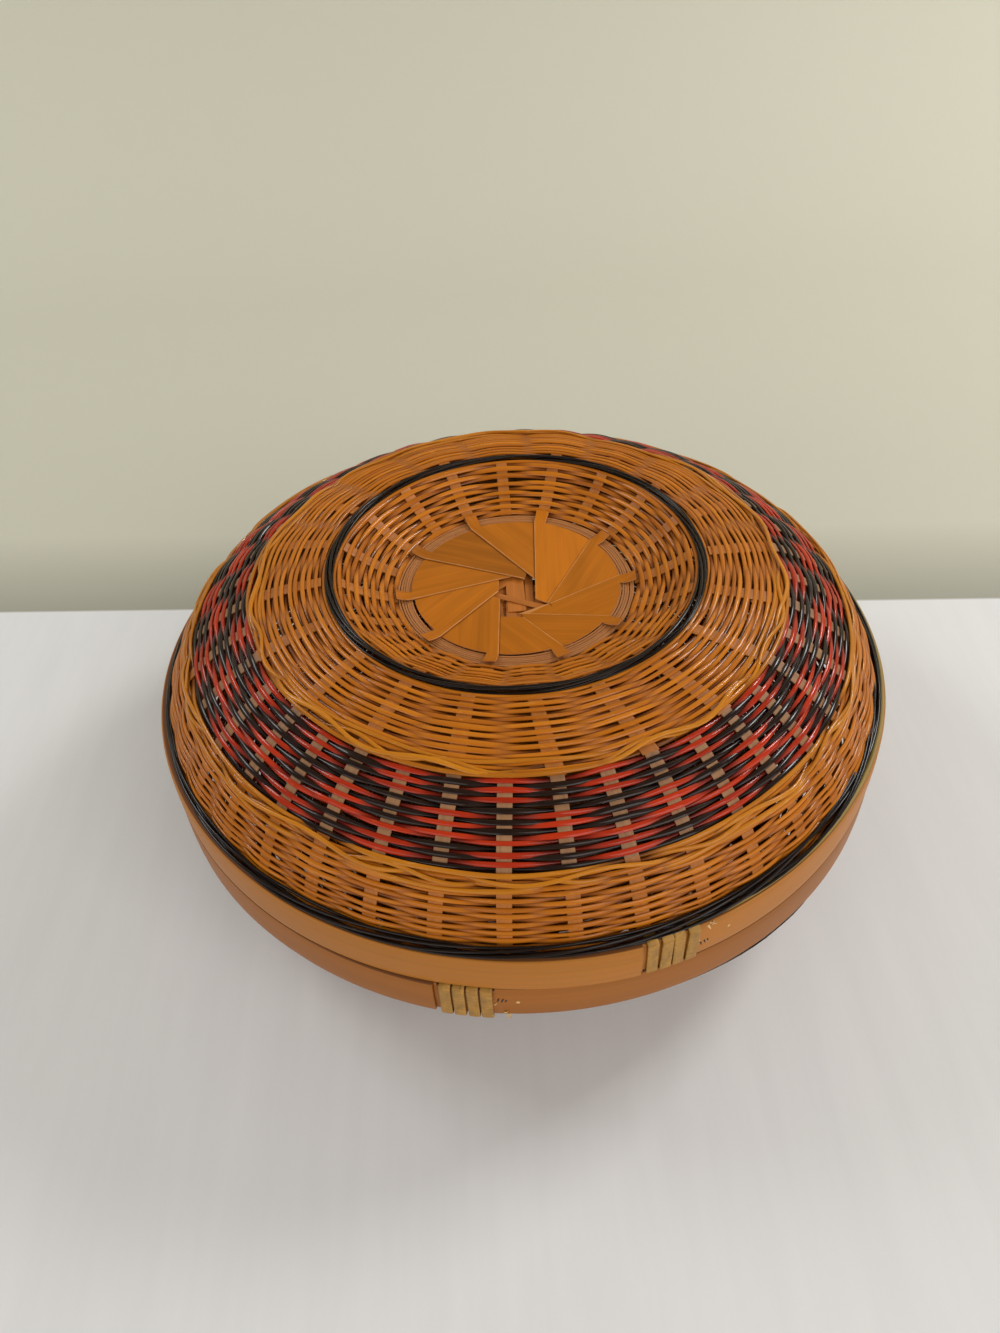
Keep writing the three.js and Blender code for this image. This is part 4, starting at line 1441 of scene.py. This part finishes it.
# Each lamp: place, point it shines at, width and height, watts and colour
LAMPS = {
    "key": ((0.75, -1.15, 1.0), (0, 0, 0.03), (1.1, 1.0), 11.0, (1.0, 0.985, 0.96)),
    "fill": ((-1.0, -1.25, 0.5), (0, 0, 0.02), (1.6, 0.8), 7.5, (1.0, 0.99, 0.98)),
    "low_right": ((1.2, -0.75, 0.4), (0, 0, 0.02), (0.8, 0.5), 2.6, (1.0, 0.98, 0.95)),
    "left_window": ((-0.92, 0.46, 0.92), (0, 0, 0.05), (0.5, 0.36), 4.8, (0.94, 0.97, 1.0)),
    "right_window": ((0.88, 0.45, 0.85), (0, 0, 0.05), (0.36, 0.26), 6.8, (0.96, 0.98, 1.0)),
}
ROOM_LIGHT = (0.8, 0.8, 0.8, 1.0)
ROOM_STRENGTH = 0.3


def floor_finish():
    """The table's brushed pale face, and the plain backdrop past its edge"""
    palette = chosen("colours")
    shading = Shading("floor")
    place = shading.node("TexCoord", {}, "Object")
    line = shading.blend(shading.axis(place, "X"), TABLE_SLOPE, shading.axis(place, "Y"))
    brushed = shading.noise(place, (90, 9, 1), 4.0, 0.6)
    table = shading.mix(brushed, tone(palette.floor, 0.93), tone(palette.floor, 1.04))
    shade = shading.spread(line, *EDGE_SHADE)
    wall = shading.mix(shade, tone(palette.backdrop, 0.62), tone(palette.backdrop))
    shading.feed("Base Color", shading.mix(shading.spread(line, *TABLE_EDGE), table, wall))
    shading.feed("Roughness", 0.8)
    return shading.material


def build_floor():
    """A pale floor that runs up into a backdrop, in two quiet colours"""
    turn = np.linspace(0, math.pi / 2, 13)
    bend = FLOOR_END - FLOOR_BEND + FLOOR_BEND * np.sin(turn)
    depth = np.concatenate([[-FLOOR_REACH, 0.0], bend, [FLOOR_END]])
    rise = FLOOR_BEND - FLOOR_BEND * np.cos(turn)
    height = np.concatenate([[0.0, 0.0], rise, [BACKDROP_TOP]])
    left = np.column_stack([np.full(len(depth), -FLOOR_REACH), depth, height])
    right = left * [-1, 1, 1]
    index = np.arange(len(depth) - 1)
    faces = np.stack([index, index + len(depth), index + len(depth) + 1, index + 1], -1)
    mesh = bpy.data.meshes.new("floor")
    mesh.from_pydata(np.vstack([left, right]), [], faces)
    mesh.polygons.foreach_set("use_smooth", np.ones(len(faces), bool))
    mesh.materials.append(floor_finish())
    floor = put_in_scene("floor", mesh)


def add_lamp(name, place, aim, size, power, colour):
    """A soft square lamp"""
    lamp = bpy.data.lights.new(name, "AREA")
    lamp.shape = "RECTANGLE"
    lamp.size = size[0]
    lamp.size_y = size[1]
    lamp.energy = power
    lamp.color = colour
    holder = put_in_scene(name, lamp)
    holder.location = place
    holder.rotation_euler = (Vector(aim) - Vector(place)).to_track_quat("-Z", "Y").to_euler()


def build_stage():
    """Floor, backdrop, lamps, world and camera"""
    build_floor()
    for name, settings in LAMPS.items():
        add_lamp(name, *settings)
    world = bpy.data.worlds.new("room")
    world.use_nodes = True
    background = world.node_tree.nodes["Background"]
    background.inputs["Color"].default_value = ROOM_LIGHT
    background.inputs["Strength"].default_value = ROOM_STRENGTH
    bpy.context.scene.world = world
    bpy.context.scene.view_settings.view_transform = "Standard"
    camera = bpy.data.cameras.new("camera")
    camera.lens = FOCAL_LENGTH
    camera.clip_start = 0.01
    holder = put_in_scene("camera", camera)
    turn = Euler((math.pi / 2 - CAMERA_PITCH, 0, 0)).to_matrix()
    turn = turn @ Matrix.Rotation(CAMERA_ROLL, 3, "Z")
    holder.matrix_world = Matrix.Translation(CAMERA_PLACE) @ turn.to_4x4()
    bpy.context.scene.camera = holder


# Operators, panel and registration

class WOVENBOX_OT_stage(bpy.types.Operator):
    """Set up the floor, the backdrop, the lamps and the camera"""

    bl_idname = "woven_box.stage"
    bl_label = "Stage"

    def execute(self, context):
        build_stage()
        return {"FINISHED"}


class WOVENBOX_OT_hoops(bpy.types.Operator):
    """Bend the outer and inner hoops of both halves"""

    bl_idname = "woven_box.hoops"
    bl_label = "Hoops"

    def execute(self, context):
        for half in HALVES:
            build_hoops(half)
        return {"FINISHED"}


class WOVENBOX_OT_collar(bpy.types.Operator):
    """Stand the collar in the base's rim"""

    bl_idname = "woven_box.collar"
    bl_label = "Collar"

    def execute(self, context):
        build_collar()
        return {"FINISHED"}


class WOVENBOX_OT_stakes(bpy.types.Operator):
    """Set the flat bamboo stakes of both halves"""

    bl_idname = "woven_box.stakes"
    bl_label = "Stakes"

    def execute(self, context):
        for half in HALVES:
            build_stakes(half)
        return {"FINISHED"}


class WOVENBOX_OT_bands(bpy.types.Operator):
    """Weave the plain and checked bands of both halves"""

    bl_idname = "woven_box.bands"
    bl_label = "Woven bands"

    def execute(self, context):
        for half in HALVES:
            build_bands(half)
        return {"FINISHED"}


class WOVENBOX_OT_wales(bpy.types.Operator):
    """Twine the black wales at the rims and crests"""

    bl_idname = "woven_box.wales"
    bl_label = "Wales"

    def execute(self, context):
        for half in HALVES:
            for part in WALES:
                build_wale(half, part)
        return {"FINISHED"}


class WOVENBOX_OT_splint_rings(bpy.types.Operator):
    """Lay the flat strips round the medallions"""

    bl_idname = "woven_box.splint_rings"
    bl_label = "Splint rings"

    def execute(self, context):
        for half in HALVES:
            build_splint_ring(half)
        return {"FINISHED"}


class WOVENBOX_OT_blades(bpy.types.Operator):
    """Lay the overlapping blades of the medallions"""

    bl_idname = "woven_box.blades"
    bl_label = "Medallion blades"

    def execute(self, context):
        for half in HALVES:
            for index, tab in enumerate(tab_azimuths()):
                build_blade(half, index, tab)
        return {"FINISHED"}


class WOVENBOX_OT_centre_strips(bpy.types.Operator):
    """Cross the narrow strips under the medallions' holes"""

    bl_idname = "woven_box.centre_strips"
    bl_label = "Centre strips"

    def execute(self, context):
        for half in HALVES:
            for index in range(len(STRIPS)):
                build_centre_strips(half, index)
        return {"FINISHED"}


class WOVENBOX_OT_wraps(bpy.types.Operator):
    """Bind the hoops' laps with flat cane"""

    bl_idname = "woven_box.wraps"
    bl_label = "Wraps"

    def execute(self, context):
        for half in HALVES:
            for index in range(chosen("rim").wrap_count):
                build_wrap(half, index)
        return {"FINISHED"}


class WOVENBOX_OT_pegs(bpy.types.Operator):
    """Drive the pegs through the hoops' laps"""

    bl_idname = "woven_box.pegs"
    bl_label = "Lap pegs"

    def execute(self, context):
        for half in HALVES:
            build_peg(half)
        return {"FINISHED"}


STEPS = (
    WOVENBOX_OT_stage, WOVENBOX_OT_hoops, WOVENBOX_OT_collar, WOVENBOX_OT_stakes,
    WOVENBOX_OT_bands, WOVENBOX_OT_wales, WOVENBOX_OT_splint_rings, WOVENBOX_OT_blades,
    WOVENBOX_OT_centre_strips, WOVENBOX_OT_wraps, WOVENBOX_OT_pegs,
)
GROUPS = {
    "woven_box_weave": WovenBoxWeave,
    "woven_box_rim": WovenBoxRim,
    "woven_box_medallion": WovenBoxMedallion,
    "woven_box_colours": WovenBoxColours,
}


class WOVENBOX_PT_panel(bpy.types.Panel):
    """Sizes and colours of the box, and a button for each step of making it"""

    bl_idname = "WOVENBOX_PT_panel"
    bl_label = "Woven Round Box"
    bl_space_type = "VIEW_3D"
    bl_region_type = "UI"
    bl_category = "Woven Box"

    def draw(self, context):
        for attribute, group in GROUPS.items():
            box = self.layout.box()
            for key in group.__annotations__:
                box.prop(getattr(context.scene, attribute), key)
        for step in STEPS:
            self.layout.operator(step.bl_idname)


def register():
    for group in GROUPS.values():
        bpy.utils.register_class(group)
    for attribute, group in GROUPS.items():
        setattr(bpy.types.Scene, attribute, bpy.props.PointerProperty(type=group))
    for step in STEPS:
        bpy.utils.register_class(step)
    bpy.utils.register_class(WOVENBOX_PT_panel)


def unregister():
    bpy.utils.unregister_class(WOVENBOX_PT_panel)
    for step in reversed(STEPS):
        bpy.utils.unregister_class(step)
    for attribute, group in GROUPS.items():
        delattr(bpy.types.Scene, attribute)
        bpy.utils.unregister_class(group)


def main():
    """Makes the whole box"""
    register()
    for step in STEPS:
        group, name = step.bl_idname.split(".")
        getattr(getattr(bpy.ops, group), name)()


if __name__ == "__main__":
    main()
